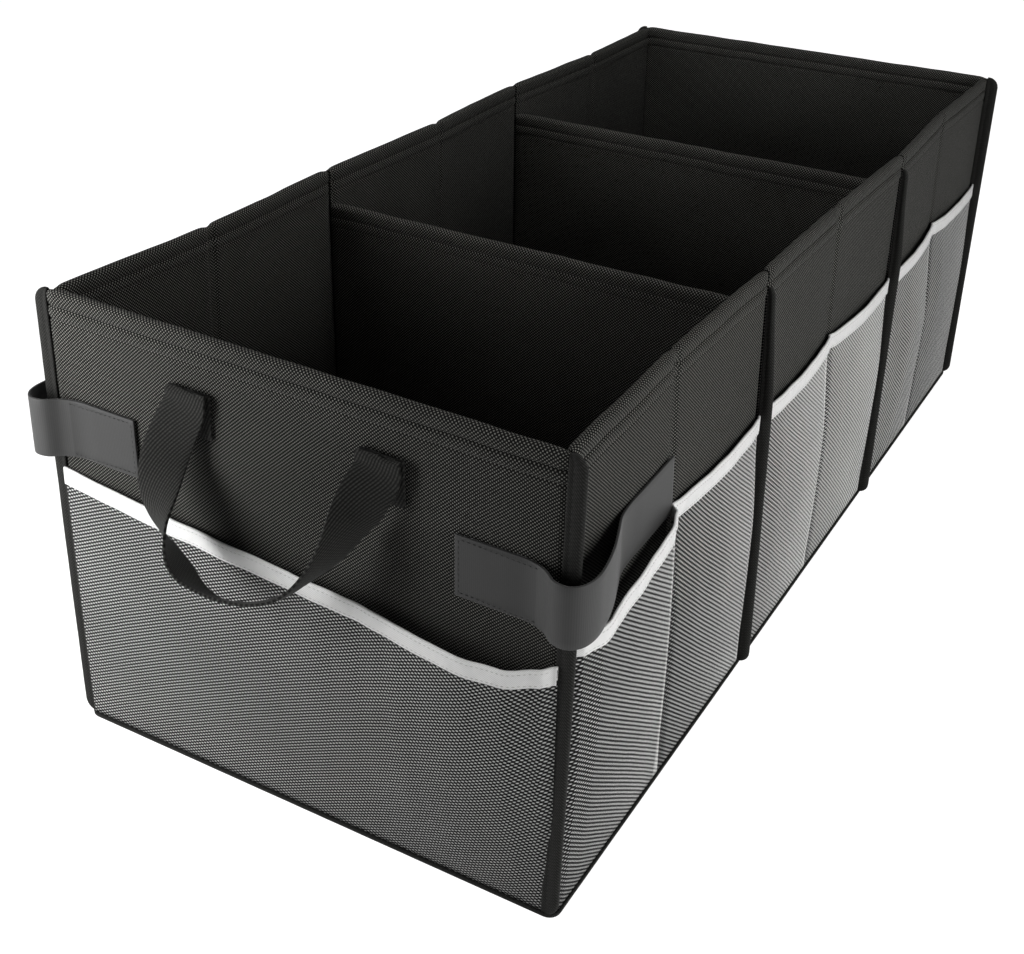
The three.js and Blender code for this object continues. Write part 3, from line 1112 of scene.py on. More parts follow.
def divider(end: End) -> Panel:
    """The divider nearer one end of the box."""
    middle = end.value * BAY / 2
    half = WIDTH / 2 - WALL - SKIN
    return Panel(
        name=f"{end.word}_divider",
        start=-half,
        stop=half,
        top=DIVIDER_TOP,
        place=lambda along, offset, z: Vector((along, middle - offset, z)),
        outward=Vector((0, -1, 0)),
        nodes=(f"{end.word}_divider_cover", f"{end.word}_divider_board"),
        seed=23.0 + end.value,
        sway=0.4,
    )


def side_wall(side: Side, bay: int) -> Panel:
    """The side wall of one bay, with a fold line in its middle."""
    sign = side.value
    middle = sign * (WIDTH - WALL) / 2
    begin = -LENGTH / 2 + bay * BAY
    corner = LENGTH / 2 - WALL - SKIN
    word = f"{side.word}_{BAY_NAMES[bay]}_wall"
    return Panel(
        name=word,
        start=max(begin + SEAM_EDGE, -corner),
        stop=min(begin + BAY - SEAM_EDGE, corner),
        top=HEIGHT,
        place=lambda along, offset, z: Vector((middle + sign * offset, along, z)),
        outward=Vector((sign, 0, 0)),
        nodes=(f"{word}_cover", f"{word}_board_1", f"{word}_board_2"),
        creases=(begin + BAY / 2,),
        seed=40.0 + 10.0 * sign + bay,
    )


# Base


@dataclass
class Base:
    """The bottom cloth with its bound edge, and the three lift-up boards that lie on it."""

    overhang: float = 3.0
    cloth: float = 1.5
    rim: float = 2.8
    rim_width: float = 2.1
    rim_step: float = 9.0
    rim_tape: float = 2.4
    rim_power: float = 0.55
    corner: float = 8.0
    board: float = 4.0
    board_corner: float = 4.0
    board_edge: float = 1.3
    board_hem: float = 0.3
    clearance: float = 1.5
    side_clearance: float = 4.0
    hem_bulge: float = 0.6
    stitch_inset: float = 9.0
    stitch_sink: float = 0.12
    lift: float = 0.15
    cloth_wave: float = 0.05
    rim_wave: float = 0.08
    board_wave: float = 0.1

    @property
    def outer(self) -> tuple[float, float, float]:
        """The half sizes of the middle line of the cloth's bound edge, and its corner radius."""
        inset = self.rim_width / 2
        reach = self.overhang - inset
        return WIDTH / 2 + reach, LENGTH / 2 + reach, self.corner - inset

    def build(self) -> None:
        """Make the bottom cloth, its edge binding and the base boards."""
        self.add_cloth()
        self.add_edge()
        for bay in range(BAYS):
            self.add_board(bay)

    def add_cloth(self) -> None:
        """Lay the bottom cloth on the floor."""
        half_x, half_y, radius = self.outer
        level = self.lift + self.cloth / 2

        def shape(x: float, y: float) -> Vector:
            """The cloth lies flat, with its corners rounded."""
            x, y = rounded(x, y, (half_x, half_y), radius)
            return Vector((x, y, level + self.cloth_wave * lumps(x / 60.0, y / 60.0, 5.0)))

        columns = cornered(-half_x, half_x, radius, 28, 4)
        rows = cornered(-half_y, half_y, radius, 60, 4)
        sheet = Sheet("bottom_cloth_sheet", columns, rows, shape, self.cloth)
        made = sheet.build(CLOTH)
        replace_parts(made, "bottom_cloth")
        sheet.declare(made, Hold.LAID, ["floor"])

    def add_edge(self) -> None:
        """Bind the bottom cloth's edge with a folded tape that stands up as a low rim."""
        half_x, half_y, radius = self.outer
        outline: list[tuple[Vector, Vector]] = []
        for sign_x, sign_y, first in ((1, -1, -90), (1, 1, 0), (-1, 1, 90), (-1, -1, 180)):
            centre = Vector((sign_x * (half_x - radius), sign_y * (half_y - radius), 0))
            for degrees in spread(first, first + 90, 6):
                angle = math.radians(degrees)
                out = Vector((math.cos(angle), math.sin(angle), 0))
                outline.append((centre + out * radius, out))
        outline.append(outline[0])
        places: dict[float, tuple[Vector, Vector]] = {}
        run = 0.0
        for (a, out_a), (b, out_b) in zip(outline, outline[1:]):
            length = (b - a).length
            pieces = max(1, round(length / self.rim_step))
            for share in spread(0.0, 1.0, pieces)[:-1]:
                out = out_a.lerp(out_b, share).normalized()
                places[run + length * share] = a.lerp(b, share), out
            run += length
        places[run] = outline[0]
        middle = self.rim / 2
        section = {angle * self.rim_tape: angle for angle in spread(0.0, 2 * math.pi, 14)}

        def shape(run: float, around: float) -> Vector:
            """The rim's section is a flat oval, upright on the floor."""
            spot, out = places[run]
            angle = section[around]
            wide, tall = (
                math.copysign(abs(turned) ** self.rim_power, turned) * half
                for turned, half in (
                    (math.cos(angle), self.rim_width / 2),
                    (math.sin(angle), middle),
                )
            )
            ease = self.rim_wave * lumps(spot.x / 14.0, spot.y / 14.0, 1.0)
            return spot + out * (wide + ease) + Vector((0, 0, middle + tall))

        sheet = Sheet("bottom_edge_binding", list(places), list(section), shape, closed=True)
        sheet.build(BINDING)

    def add_board(self, bay: int) -> None:
        """Make one cloth-covered base board, with its cloth turned over its edges.

        Args:
            bay: which bay it lies in, counted from the front.
        """
        begin = -LENGTH / 2 + bay * BAY
        ease = self.hem_bulge + self.clearance
        first = begin + (WALL if bay == 0 else WALL / 2) + ease
        last = begin + BAY - (WALL if bay == BAYS - 1 else WALL / 2) - ease
        half = WIDTH / 2 - WALL - self.hem_bulge - self.side_clearance
        middle = (first + last) / 2
        radius = self.board_corner
        name = f"{BAY_NAMES[bay]}_base"
        body = f"{name}_flap"

        def shape(x: float, y: float) -> Vector:
            """A flat board with rounded corners and a faint sag in its cloth."""
            x, off = rounded(x, y - middle, (half, last - middle), radius)
            y = middle + off
            wave = self.board_wave * lumps(x / 50.0, y / 50.0, 9.0 + bay)
            return Vector((x, y, STAND + self.board / 2 + wave))

        sheet = Sheet(
            f"{name}_panel",
            cornered(-half, half, radius, 30, 3),
            cornered(first, last, radius, 26, 3),
            shape,
            self.board - self.board_hem,
            edge_radius=self.board_edge,
            settled=False,
        )
        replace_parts(sheet.build(CLOTH, body), f"{name}_board")
        rows = Stitching(f"{name}_stitching")
        level = STAND + self.board - self.stitch_sink
        side = half - self.stitch_inset
        front, rear = first + self.stitch_inset, last - self.stitch_inset
        corners = ((-side, front), (side, front), (side, rear), (-side, rear))
        rows.ring([Vector((x, y, level)) for x, y in corners], UP, 30, settled=False)
        rows.build(DARK_THREAD, "cloth", body)


# Bindings


@dataclass
class Fin:
    """Tape folded over an upright seam, which stands out from the box as a narrow fin."""

    name: str
    node: str
    top: float
    place: Placing
    face: Vector
    depth: float = 9.0
    width: float = 4.4
    root: float = SKIN - 0.35
    full: float = 0.62
    slim: float = 1.0
    seed: float = 0.0
    tape: float = 0.9
    sewn: float = 0.42
    groove: float = 0.3
    groove_width: float = 1.1
    wobble: float = 0.3
    puff: float = 0.07
    taper: float = 90.0

    @property
    def height(self) -> float:
        """The fin's height above its foot."""
        return self.top - STAND

    @property
    def bead(self) -> float:
        """The radius of the fold along the fin's outer edge."""
        return self.width / 2

    @property
    def sweep(self) -> float:
        """The flat run of tape on each face, before the fold."""
        return self.depth - self.bead

    @property
    def perimeter(self) -> float:
        """The whole run of tape from one face to the other."""
        return 2 * self.sweep + math.pi * self.bead

    def section(self, run: float) -> tuple[float, float]:
        """Out from the seam and across it, round the fin from one face to the other."""
        fold = math.pi * self.bead
        if run < self.sweep:
            return run, -1.0
        if run > self.sweep + fold:
            return self.perimeter - run, 1.0
        angle = (run - self.sweep) / self.bead - math.pi / 2
        return self.sweep + self.bead * math.cos(angle), math.sin(angle)

    def shape(self, level: float, run: float) -> Vector:
        """The fin is fullest at its rounded edge, and round at its two ends.

        Args:
            level: the height above the fin's foot.
            run: the run of tape from the root of its first face.

        Returns:
            The place in the box.
        """
        out, across = self.section(run)
        near = min(level, self.height - level)
        share = min(1.0, near / (self.depth - 1.0))
        end = math.sqrt(max(0.0, 1 - (1 - share) ** 2))
        thick = self.bead * (self.full + (1 - self.full) * smooth(0.0, self.sweep, out))
        sunk = math.exp(-(((out - self.sweep * self.sewn) / self.groove_width) ** 2))
        groove = 1.0 - self.groove * sunk
        wobble = self.wobble * lumps(level / 40.0, self.seed, 2.0)
        puff = 1.0 + self.puff * lumps(level / 9.0, out / 4.0, self.seed)
        sideways = across * thick * groove * puff * (0.25 + 0.75 * end)
        reach = self.slim + (1 - self.slim) * smooth(0.0, self.taper, self.height - level)
        outward = self.root + out * (0.1 + 0.9 * end) * reach
        return self.place(outward, sideways + wobble * out / self.depth, STAND + level)

    def build(self) -> None:
        """Make the fin and the stitches that hold it shut."""
        fold = self.sweep + math.pi * self.bead
        ends = [0.0, 0.3, 0.9, 2.0, 3.6, 5.8, 8.4]
        tall = self.height
        columns = [*ends, *spread(12.0, tall - 12.0, 46), *(tall - e for e in reversed(ends))]
        rows = [
            *spread(0.0, self.sweep, 7)[:-1],
            *spread(self.sweep, fold, 8)[:-1],
            *spread(fold, self.perimeter, 7),
        ]
        sheet = Sheet(f"{self.name}_tape", columns, rows, self.shape, self.tape)
        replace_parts(sheet.build(BINDING), self.node)
        stitches = Stitching(f"{self.name}_stitching", pitch=4.0, length=2.9)
        sewn = self.sweep * self.sewn
        for run, across in ((sewn, -1), (self.perimeter - sewn, 1)):
            outward = self.face * across
            levels = spread(8.0, tall - 8.0, 60)
            stitches.row([self.shape(level, run) + outward * 0.4 for level in levels], outward)
        stitches.build(DARK_THREAD, "binding")


def seam_fin(side: Side, end: End) -> Fin:
    """The fin over the seam where a divider joins a side wall."""
    sign = side.value
    middle = end.value * BAY / 2
    return Fin(
        name=f"{side.word}_{end.word}_seam",
        node=f"{side.word}_{end.word}_seam_binding",
        top=SEAM_TOP,
        place=lambda out, off, z: Vector((sign * (WIDTH / 2 + out), middle + off, z)),
        face=Vector((0, 1, 0)),
        slim=0.5,
        seed=2.0 * sign + end.value,
    )


# How far the foot of a corner fin is drawn in across the box, and comes forward past its panel
FIN_FEET = {(End.FRONT, Side.RIGHT): (6.3, 2.6), (End.FRONT, Side.LEFT): (2.6, 1.0)}
OTHER_FEET = (2.0, 0.6)


def corner_fin(side: Side, end: End) -> Fin:
    """The fin over a corner seam: it stands out past the end panel, in the panel's plane.

    Args:
        side: the side that it stands out on.
        end: the end panel that it edges.

    Returns:
        The fin, whose foot draws in a little and comes forward.
    """
    middle = end.value * CORNER_SEAM
    inward, forward = FIN_FEET.get((end, side), OTHER_FEET)

    def place(out: float, off: float, z: float) -> Vector:
        """A place on the fin, drawn in and pulled past the end panel towards its foot."""
        foot = 1.0 - z / HEIGHT
        reach = WIDTH / 2 + out - inward * foot
        return Vector((side.value * reach, middle + off + end.value * forward * foot, z))

    return Fin(
        name=f"{end.word}_{side.word}_corner",
        node=f"{end.word}_{side.word}_corner_binding",
        top=HEIGHT,
        place=place,
        face=Vector((0, 1, 0)),
        depth=10.2,
        root=-0.7,
        full=0.8,
        seed=9.0 + 3.0 * side.value + end.value,
    )


# Mesh pockets


@dataclass
class Pocket:
    """A mesh pocket that bellies out between the lines where it is sewn down.

    Past tight_from, only a share of its belly is left at its mouth: lip.
    """

    name: str
    span: tuple[float, float]
    mouth: Table
    belly: Table
    place: Placing
    outward: Vector
    seams: tuple[float, ...]
    nodes: tuple[str, str]
    seed: float = 0.0
    tape_height: float = 12.0
    tape: float = 1.3
    mesh: float = 0.12
    net: Finish = MESH
    lip: float = 1.0
    tight_from: float = -LENGTH
    ripple: float = 0.9
    foot: float = 3.1
    net_gap: float = 0.45
    tape_gap: float = 1.0
    tuck: float = 2.5
    back: float = 3.5
    firm: float = 22.0
    curl: float = 0.5

    def fullness(self, along: float, share: float) -> float:
        """How far the pocket has opened at a share of the way from its foot to its mouth."""
        lip = self.lip if along > self.tight_from else 1.0
        tight = 1.0 - (1.0 - lip) * smooth(0.55, 0.97, share)
        return tight * math.sin(math.pi / 2 * min(1.0, 1.2 * share)) ** 0.8

    def folds(self, along: float, share: float) -> float:
        """Soft upright folds that fade out at the seams."""
        free = smooth(0.0, self.firm, min(abs(along - seam) for seam in self.seams))
        slow = lumps(along / 30.0, share * 0.9, self.seed)
        quick = lumps(along / 13.0, share * 1.6, self.seed + 5.0)
        return free * self.ripple * (1.6 * slow + 0.7 * quick) * (0.35 + 0.65 * share)

    def out(self, along: float, z: float) -> float:
        """How far the mesh stands off the panel at a place."""
        share = (z - self.foot) / (self.mouth.at(along) - self.foot)
        share = min(1.0, max(0.0, share))
        swell = self.belly.at(along) + self.folds(along, share)
        return max(0.0, swell * self.fullness(along, share))

    def mesh_shape(self, along: float, share: float) -> Vector:
        """The mesh, from its foot at 0 to just under the mouth at the height of the pocket."""
        top = self.mouth.at(along) - self.tuck
        z = self.foot + (top - self.foot) * share / self.tallest
        return self.place(along, SKIN + self.net_gap + self.out(along, z), z)

    @property
    def tallest(self) -> float:
        """The flat height of the mesh."""
        return max(self.mouth.values) - self.foot

    @property
    def rise(self) -> float:
        """The run of tape up its outer face, before the fold."""
        return self.tape_height - self.tape / 2

    def tape_shape(self, along: float, run: float) -> Vector:
        """The tape, folded over the mouth: up its outer face, over, and down behind.

        Args:
            along: the place along the pocket.
            run: the run of tape from the foot of its outer face.

        Returns:
            The place in the box.
        """
        mouth = self.mouth.at(along)
        radius = self.tape / 2
        turn = min(max((run - self.rise) / radius, 0.0), math.pi)
        level = min(run, self.rise) + radius * math.sin(turn)
        if turn >= math.pi:
            level = self.rise - (run - self.rise - math.pi * radius)
        z = mouth - self.tape_height + level
        curl = self.curl * lumps(along / 21.0, run / 20.0, self.seed + 9.0)
        offset = SKIN + self.tape_gap + self.out(along, min(z, mouth)) + radius * math.cos(turn)
        return self.place(along, offset + curl, z)

    def build(self) -> None:
        """Make the mesh, its tape and their stitching."""
        columns = graded(*self.span, 4.2, self.seams)
        rows = [*spread(0.0, 30.0, 6)[:-1], *spread(30.0, self.tallest, 30)]
        net = Sheet(f"{self.name}_net", columns, rows, self.mesh_shape, self.mesh)
        mesh = net.build(self.net)
        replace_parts(mesh, self.nodes[0])
        over = self.rise + math.pi * self.tape / 2
        runs = [*spread(0.0, self.rise, 8)[:-1], *spread(self.rise, over, 5)[:-1]]
        runs += spread(over, over + self.tape_height - self.back, 6)
        trim = Sheet(f"{self.name}_trim", columns, runs, self.tape_shape, 0.55)
        tape = trim.build(PALE_TAPE)
        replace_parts(tape, self.nodes[1])
        stitches = Stitching(f"{self.name}_trim_stitching", pitch=3.2, length=2.2, width=0.45)
        ends = [*self.seams, *self.span]
        clear = [x for x in graded(*self.span, 3.0) if min(abs(x - e) for e in ends) > 1.5]
        for run in (1.6, self.rise - 1.8):
            line = [self.tape_shape(along, run) + self.outward * 0.32 for along in clear]
            stitches.row(line, self.outward)
        made = stitches.build(PALE_THREAD, "light_tape")
        net.declare(mesh, Hold.GATHERED, [], with_pieces=[tape, made])


@dataclass
class SidePockets:
    """The mesh pockets along both sides, one in each bay, sewn down in its middle.

    Each half has a line of how far out it bellies, at shares of its length.
    """

    halves: tuple[Table, ...] = (
        Table(
            (0.0, 0.05, 0.16, 0.35, 0.62, 0.86, 0.96, 1.0),
            (0.5, 6.5, 10.5, 10.0, 9.6, 8.6, 5.6, 0.2),
        ),
        Table((0.0, 0.07, 0.30, 0.60, 0.88, 0.97, 1.0), (0.2, 4.2, 6.5, 8.5, 7.8, 4.6, 0.4)),
        Table((0.0, 0.08, 0.30, 0.62, 0.88, 0.97, 1.0), (0.4, 3.0, 6.5, 10.5, 9.4, 5.6, 0.2)),
        Table((0.0, 0.07, 0.25, 0.55, 0.88, 0.97, 1.0), (0.2, 4.8, 7.5, 10.0, 7.8, 4.6, 0.4)),
        Table((0.0, 0.08, 0.28, 0.58, 0.88, 0.97, 1.0), (0.4, 3.0, 6.5, 11.5, 9.4, 5.6, 0.2)),
        Table((0.0, 0.07, 0.28, 0.58, 0.88, 0.97, 1.0), (0.2, 4.8, 7.0, 5.5, 4.4, 2.8, 0.3)),
    )
    corner_mouth: float = 203.0
    seam_mouth: float = 213.0
    crease_mouth: float = 216.0
    sag: float = 4.0
    corner_gap: float = 5.2
    seam_gap: float = 2.8
    lip: float = 0.25

    def build(self) -> None:
        """Make the six pockets."""
        for side in Side:
            for bay in range(BAYS):
                self.add(side, bay)

    def add(self, side: Side, bay: int) -> None:
        """Make the pocket of one bay.

        Args:
            side: the side of the box.
            bay: the bay, counted from the front.
        """
        sign = side.value
        begin = -LENGTH / 2 + bay * BAY
        first = begin + (self.corner_gap if bay == 0 else self.seam_gap)
        last = begin + BAY - (self.corner_gap if bay == BAYS - 1 else self.seam_gap)
        crease = begin + BAY / 2
        front_mouth = self.corner_mouth if bay == 0 else self.seam_mouth
        near, far = self.halves[2 * bay : 2 * bay + 2]
        stops = [first + (crease - first) * share for share in near.stops]
        stops += [crease + (last - crease) * share for share in far.stops[1:]]
        mouths = (front_mouth, self.crease_mouth, self.seam_mouth)
        line = Table((first, crease, last), mouths, eased=False)
        places = [*spread(first, crease, 8)[:-1], *spread(crease, last, 8)]

        def mouth(along: float) -> float:
            """The mouth sags a little between the lines where it is sewn down."""
            low, high = (first, crease) if along < crease else (crease, last)
            dip = abs(math.sin(math.pi * (along - low) / (high - low)))
            return line.at(along) - self.sag * dip

        name = f"{side.word}_{BAY_NAMES[bay]}"
        pocket = Pocket(
            name=f"{name}_pocket",
            span=(first, last),
            mouth=Table(tuple(places), tuple(mouth(p) for p in places), eased=False),
            belly=Table(tuple(stops), near.values + far.values[1:]),
            place=lambda along, offset, z: Vector((sign * (WIDTH / 2 + offset), along, z)),
            outward=Vector((sign, 0, 0)),
            seams=(first, crease, last),
            nodes=(f"{name}_mesh_pocket", f"{name}_pocket_tape"),
            seed=70.0 + 4.0 * bay + sign,
            mesh=0.3,
            # the side pockets take the lighter copy of the mesh, with painted sheen
            net=CLOSE_MESH_PAINTED_LIGHT,
            lip=self.lip,
            tight_from=-LENGTH if bay else crease,
        )
        pocket.build()


@dataclass
class EndPockets:
    """The wide mesh pockets across the two ends."""

    across: tuple[float, ...] = (-183.2, -112.0, -94.0, -4.0, 70.0, 101.0, 134.0, 160.0, 183.2)
    mouth: tuple[float, ...] = (199.0, 193.5, 191.5, 186.7, 184.0, 182.2, 180.8, 183.0, 188.0)
    belly_across: tuple[float, ...] = (
        -183.2, -158.0, -60.0, 0.0, 50.0, 90.0, 125.0, 152.0, 174.0, 183.2,
    )
    belly: tuple[float, ...] = (0.3, 1.5, 3.0, 4.0, 6.0, 10.5, 14.0, 12.5, 6.0, 0.4)

    def build(self) -> None:
        """Make the front and the rear pocket."""
        for end in End:
            self.add(end)

    def add(self, end: End) -> None:
        """Make the pocket of one end: the rear one is the front one turned round."""
        sign = end.value
        span = (self.across[0], self.across[-1])
        pocket = Pocket(
            name=f"{end.word}_pocket",
            span=span,
            mouth=Table(self.across, self.mouth, eased=False),
            belly=Table(self.belly_across, self.belly),
            place=lambda across, out, z: Vector((-sign * across, sign * (LENGTH / 2 + out), z)),
            outward=Vector((0, sign, 0)),
            seams=span,
            nodes=(f"{end.word}_mesh_pocket", f"{end.word}_pocket_tape"),
            seed=90.0 + sign,
            ripple=0.6,
        )
        pocket.build()


# Webbing


@dataclass
class Ribbon:
    """A flat strap that follows a route: its width turns with it along the way."""

    name: str
    route: Route
    width: float
    thickness: float
    across: Callable[[float, Vector], Vector]
    count: int
    cells: int = 8
    edge_radius: float = 0.35

    def build(self, finish: Finish, node: str) -> None:
        """Make the strap.

        Args:
            finish: what it is made of.
            node: the solid that it stands for.
        """
        points = self.route.even(self.count)
        step = sum((b - a).length for a, b in zip(points, points[1:])) / self.count
        columns = [k * step for k in range(self.count + 1)]
        spots = {}
        for k, (column, point) in enumerate(zip(columns, points)):
            tangent = (points[min(k + 1, self.count)] - points[max(k - 1, 0)]).normalized()
            spots[column] = point, self.across(k / self.count, tangent)

        def shape(along: float, off: float) -> Vector:
            """A place on the strap's middle sheet."""
            middle, wide = spots[along]
            return middle + wide * off

        rows = spread(-self.width / 2, self.width / 2, self.cells)
        sheet = Sheet(
            self.name, columns, rows, shape, self.thickness, edge_radius=self.edge_radius
        )
        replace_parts(sheet.build(finish), node)


@dataclass
class Handle:
    """Webbing sewn on flat, folded forward over its sewn ends and hanging in a loop that twists."""

    end: End
    width: float = 30.0
    thickness: float = 1.7
    spread_out: float = 69.0
    fold_height: float = 284.0
    fold_radius: float = 2.3
    sewn: float = 28.0
    stitch_half: float = 12.0
    stitch_lift: tuple[float, float] = (3.0, 8.0)
    held: float = 0.115
    loop: tuple[tuple[float, float, float], ...] = (
        (-70.0, 6.5, 276.0),
        (-75.0, 10.2, 262.5),
        (-80.0, 15.5, 245.0),
        (-80.5, 22.0, 228.0),
        (-74.8, 30.0, 209.0),
        (-59.1, 35.2, 188.4),
        (-36.3, 37.5, 176.1),
        (-2.0, 36.7, 181.5),
        (26.0, 33.7, 198.0),
        (44.5, 27.5, 217.5),
        (55.5, 19.5, 239.0),
        (64.5, 13.5, 262.0),
        (69.0, 6.5, 276.0),
    )
    twist: Table = Table(
        (0.0, 0.05, 0.12, 0.18, 0.26, 0.35, 0.44, 0.56, 0.62, 0.67, 0.70, 0.77, 0.85, 0.92, 1.0),
        (0, 8, 20, 10, -29, -66, -46, -62, -74, -84, -84, -78, -66, -30, 0),
        eased=False,
    )

    def build(self) -> None:
        """Make the handle and the box of stitches on each sewn end."""
        sign = self.end.value
        face = SKIN + 0.9
        left = [(face, self.fold_height - share * self.sewn) for share in (1.0, 0.6, 0.2)]
        for angle in spread(0.0, math.pi, 4):
            out = face + self.fold_radius * (1 - math.cos(angle))
            left.append((out, self.fold_height + self.fold_radius * math.sin(angle)))
        line = [
            *((-self.spread_out, *spot) for spot in left),
            *self.loop,
            *((self.spread_out, *spot) for spot in reversed(left)),
        ]
        points = tuple(Vector((-sign * x, sign * (LENGTH / 2 + out), z)) for x, out, z in line)
        depth = Vector((0, -sign, 0))

        def across(share: float, tangent: Vector) -> Vector:
            """The webbing lies flat at its ends and turns over on its way round the loop."""
            flat = tangent.cross(depth).normalized()
            hanging = (share - self.held) / (1 - 2 * self.held)
            near = [self.twist.at(hanging + off) for off in (-0.03, -0.015, 0.0, 0.015, 0.03)]
            angle = math.radians(sum(near) / len(near))
            return flat * math.cos(angle) + depth * math.sin(angle)

        ribbon = Ribbon(
            f"{self.end.word}_handle_webbing",
            Route(points),
            self.width,
            self.thickness,
            across,
            150,
        )
        ribbon.build(HANDLE_WEBBING, f"{self.end.word}_handle")
        stitches = Stitching(f"{self.end.word}_handle_stitching")
        outward = Vector((0, sign, 0))
        level = LENGTH / 2 + face + self.thickness / 2
        low, high = self.stitch_lift
        for centre in (-self.spread_out, self.spread_out):
            for lift in (self.fold_height - self.sewn + low, self.fold_height - high):
                across_end = spread(centre - self.stitch_half, centre + self.stitch_half, 6)
                stitches.row([Vector((x, sign * level, lift)) for x in across_end], outward)
        stitches.build(DARK_THREAD, "webbing")


@dataclass
class Strap:
    """A closing strap: sewn on the front panel, round the corner, and laid on the side wall."""

    side: Side
    width: float = 40.0
    thickness: float = 1.5
    level: float = 231.0
    stitched: tuple[float, float] = (65.5, 14.0)
    stitch_inset: float = 2.6
    stitch_lift: float = 1.8
    route: tuple[tuple[float, float], ...] = (
        (-68.0, -1.8),
        (-52.0, -1.8),
        (-36.0, -1.8),
        (-20.0, -2.2),
        (-9.0, -6.0),
        (0.0, -12.5),
        (9.0, -13.0),
        (15.0, -7.5),
        (17.5, 3.0),
        (16.5, 17.0),
        (13.0, 34.0),
        (8.0, 50.0),
        (3.2, 65.0),
        (1.8, 80.0),
        (1.8, 98.0),
        (1.8, 118.0),
        (1.8, 143.0),
    )

    def build(self) -> None:
        """Make the strap and the box of stitches on its sewn end."""
        sign = self.side.value
        points = tuple(
            Vector((sign * (WIDTH / 2 + x), -LENGTH / 2 + y, self.level)) for x, y in self.route
        )
        ribbon = Ribbon(
            f"{self.side.word}_strap_tape",
            Route(points),
            self.width,
            self.thickness,
            lambda share, tangent: UP,
            110,
        )
        ribbon.build(STRAP_TAPE, f"{self.side.word}_closing_strap")
        outward = Vector((0, -1, 0))
        stitches = Stitching(f"{self.side.word}_strap_stitching", pitch=3.6, length=2.6)
        near, far = (sign * (WIDTH / 2 - inset) for inset in self.stitched)
        half = self.width / 2 - self.stitch_inset
        low, high = self.level - half, self.level + half
        depth = -LENGTH / 2 + self.route[0][1] - self.thickness / 2
        lifted = depth - self.stitch_lift
        corners = ((near, depth, low), (far, lifted, low), (far, lifted, high), (near, depth, high))
        stitches.ring([Vector(corner) for corner in corners], outward, 12)
        stitches.build(DARK_THREAD, "webbing")


# Camera, lights and floor


@dataclass(frozen=True)
class Lamp:
    """A square soft lamp: where it hangs and what it faces in metres, its size and its power."""

    name: str
    place: tuple[float, float, float]
    aim: tuple[float, float, float]
    size: float
    watts: float

    def hang(self) -> None:
        """Hang the lamp out of the camera's sight."""
        data = bpy.data.lights.new(self.name, "AREA")
        data.shape = "SQUARE"
        data.size = self.size
        data.energy = self.watts
        lamp = bpy.data.objects.new(self.name, data)
        lamp.location = self.place
        lamp.rotation_mode = "QUATERNION"
        way = Vector(self.aim) - Vector(self.place)
        lamp.rotation_quaternion = way.to_track_quat("-Z", "Y")
        lamp.visible_camera = False
        bpy.context.scene.collection.objects.link(lamp)


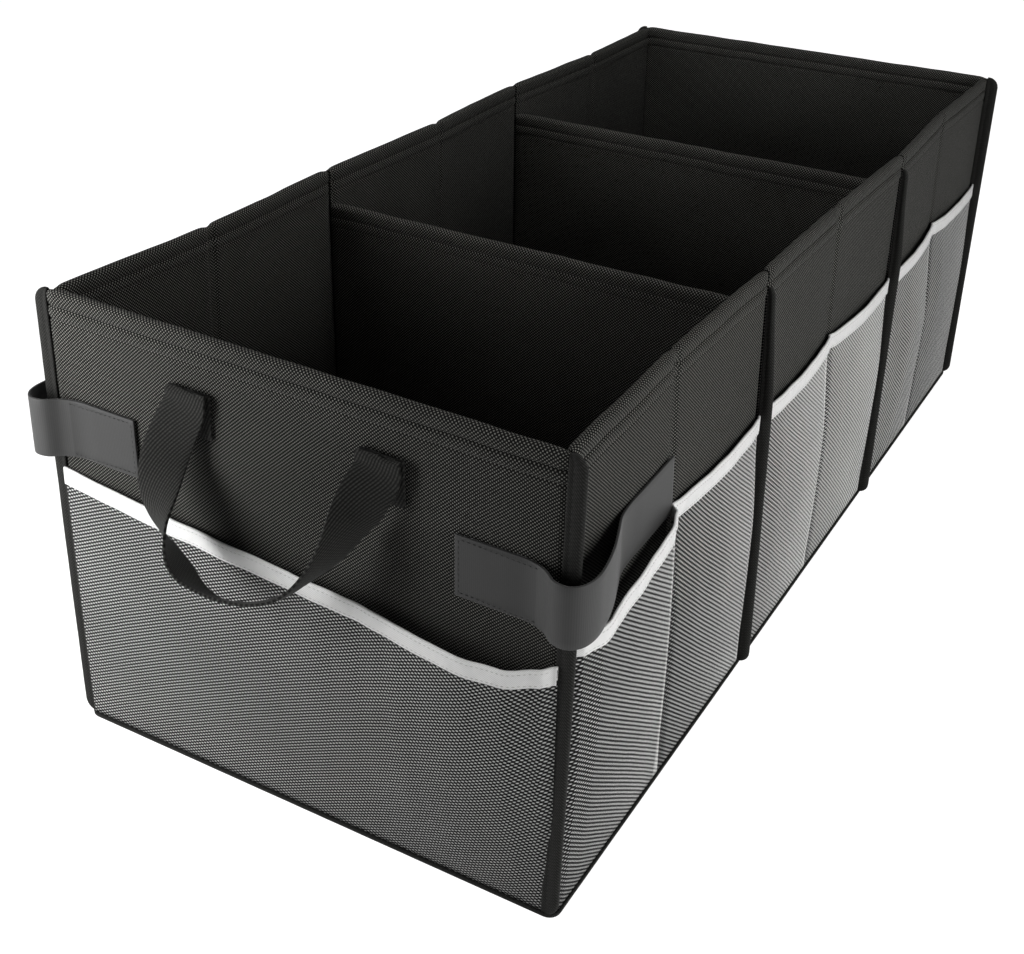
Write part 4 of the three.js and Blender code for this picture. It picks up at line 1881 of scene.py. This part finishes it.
@dataclass
class Studio:
    """A pale floor, soft lamps and the camera."""

    image: tuple[float, float] = (1024.0, 954.0)
    focal_pixels: float = 1453.54
    centre_pixel: tuple[float, float] = (545.0, 385.0)
    eye: tuple[float, float, float] = (473.66, -1002.52, 682.18)
    right: tuple[float, float, float] = (0.87473, 0.48392, 0.02577)
    up: tuple[float, float, float] = (-0.23917, 0.38484, 0.89146)
    forward: tuple[float, float, float] = (-0.42147, 0.78595, -0.45237)
    sensor: float = 36.0
    floor_half: float = 6.0
    floor_tone: float = 0.82
    floor_glow: float = 1.6
    glow_share: float = 0.62
    ambient: float = 0.06
    lamps: tuple[Lamp, ...] = (
        Lamp("key", (-0.42, -0.74, 0.34), (-0.42, -0.3, 0.27), 0.4, 4.2),
        Lamp("side", (1.4, -0.42, 0.45), (0.1, -0.25, 0.15), 0.8, 10.5),
        Lamp("top", (0.0, -0.1, 2.5), (0.0, 0.0, 0.2), 0.5, 16.0),
    )

    def build(self) -> None:
        """Set up the whole studio."""
        bpy.context.scene.view_settings.view_transform = "Standard"
        self.add_camera()
        self.add_floor()
        self.add_world()
        for lamp in self.lamps:
            lamp.hang()

    def add_camera(self) -> None:
        """Put the camera where the box was seen from."""
        data = bpy.data.cameras.new("camera")
        data.sensor_width = self.sensor
        data.lens = self.focal_pixels / self.image[0] * self.sensor
        data.shift_x = (self.image[0] / 2 - self.centre_pixel[0]) / self.image[0]
        data.shift_y = (self.centre_pixel[1] - self.image[1] / 2) / self.image[0]
        data.clip_start = 0.01
        camera = bpy.data.objects.new("camera", data)
        axes = Matrix((self.right, self.up, [-x for x in self.forward])).transposed()
        camera.matrix_world = Matrix.Translation(Vector(self.eye) * MM) @ axes.to_4x4()
        bpy.context.scene.collection.objects.link(camera)
        bpy.context.scene.camera = camera

    def add_floor(self) -> None:
        """Lay a pale floor that looks white to the camera and keeps the box's shadow."""
        mesh = bmesh.new()
        bmesh.ops.create_grid(mesh, x_segments=1, y_segments=1, size=self.floor_half)
        data = bpy.data.meshes.new("floor")
        mesh.to_mesh(data)
        mesh.free()
        floor = bpy.data.objects.new("floor", data)
        bpy.context.scene.collection.objects.link(floor)
        graph = Graph(bpy.data.materials.new("pale_floor"))
        tone = (*(self.floor_tone,) * 3, 1.0)
        diffuse = graph.value("ShaderNodeBsdfDiffuse", None, {"Color": tone})
        glow = graph.value("ShaderNodeEmission", None, {"Strength": self.floor_glow})
        share = self.seen(graph) * self.glow_share
        mixed = graph.value("ShaderNodeMixShader", None, {0: share, 1: diffuse, 2: glow})
        data.materials.append(graph.close(mixed))

    @staticmethod
    def seen(graph: Graph) -> Wire:
        """1 for rays that show the surface itself: from the camera, or through gloss or glass."""
        path = graph.node("ShaderNodeLightPath")
        camera, gloss, glass = (
            Wire(graph, path.outputs[f"Is {kind} Ray"])
            for kind in ("Camera", "Glossy", "Transmission")
        )
        return camera.math("MAXIMUM", gloss).math("MAXIMUM", glass)

    def add_world(self) -> None:
        """Light the box faintly from all round, with a white backdrop."""
        world = bpy.data.worlds.new("studio")
        bpy.context.scene.world = world
        graph = Graph(world, "World")
        backdrop = graph.value("ShaderNodeLightPath", output="Is Camera Ray")
        faint, white = (
            graph.value("ShaderNodeBackground", None, {"Color": (1, 1, 1, 1), "Strength": strength})
            for strength in (self.ambient, 1.0)
        )
        graph.close(graph.value("ShaderNodeMixShader", None, {0: backdrop, 1: faint, 2: white}))


def main() -> None:
    """Build the box's pieces in order, then the studio."""
    logging.basicConfig(level=logging.INFO, format="%(message)s")
    Studio().build()
    for end in End:
        end_panel(end).build()
        divider(end).build()
    for side in Side:
        for bay in range(BAYS):
            side_wall(side, bay).build()
    Base().build()
    for end in End:
        for side in Side:
            corner_fin(side, end).build()
            seam_fin(side, end).build()
    EndPockets().build()
    SidePockets().build()
    for end in End:
        Handle(end).build()
    for side in Side:
        Strap(side).build()


if __name__ == "__main__":
    main()
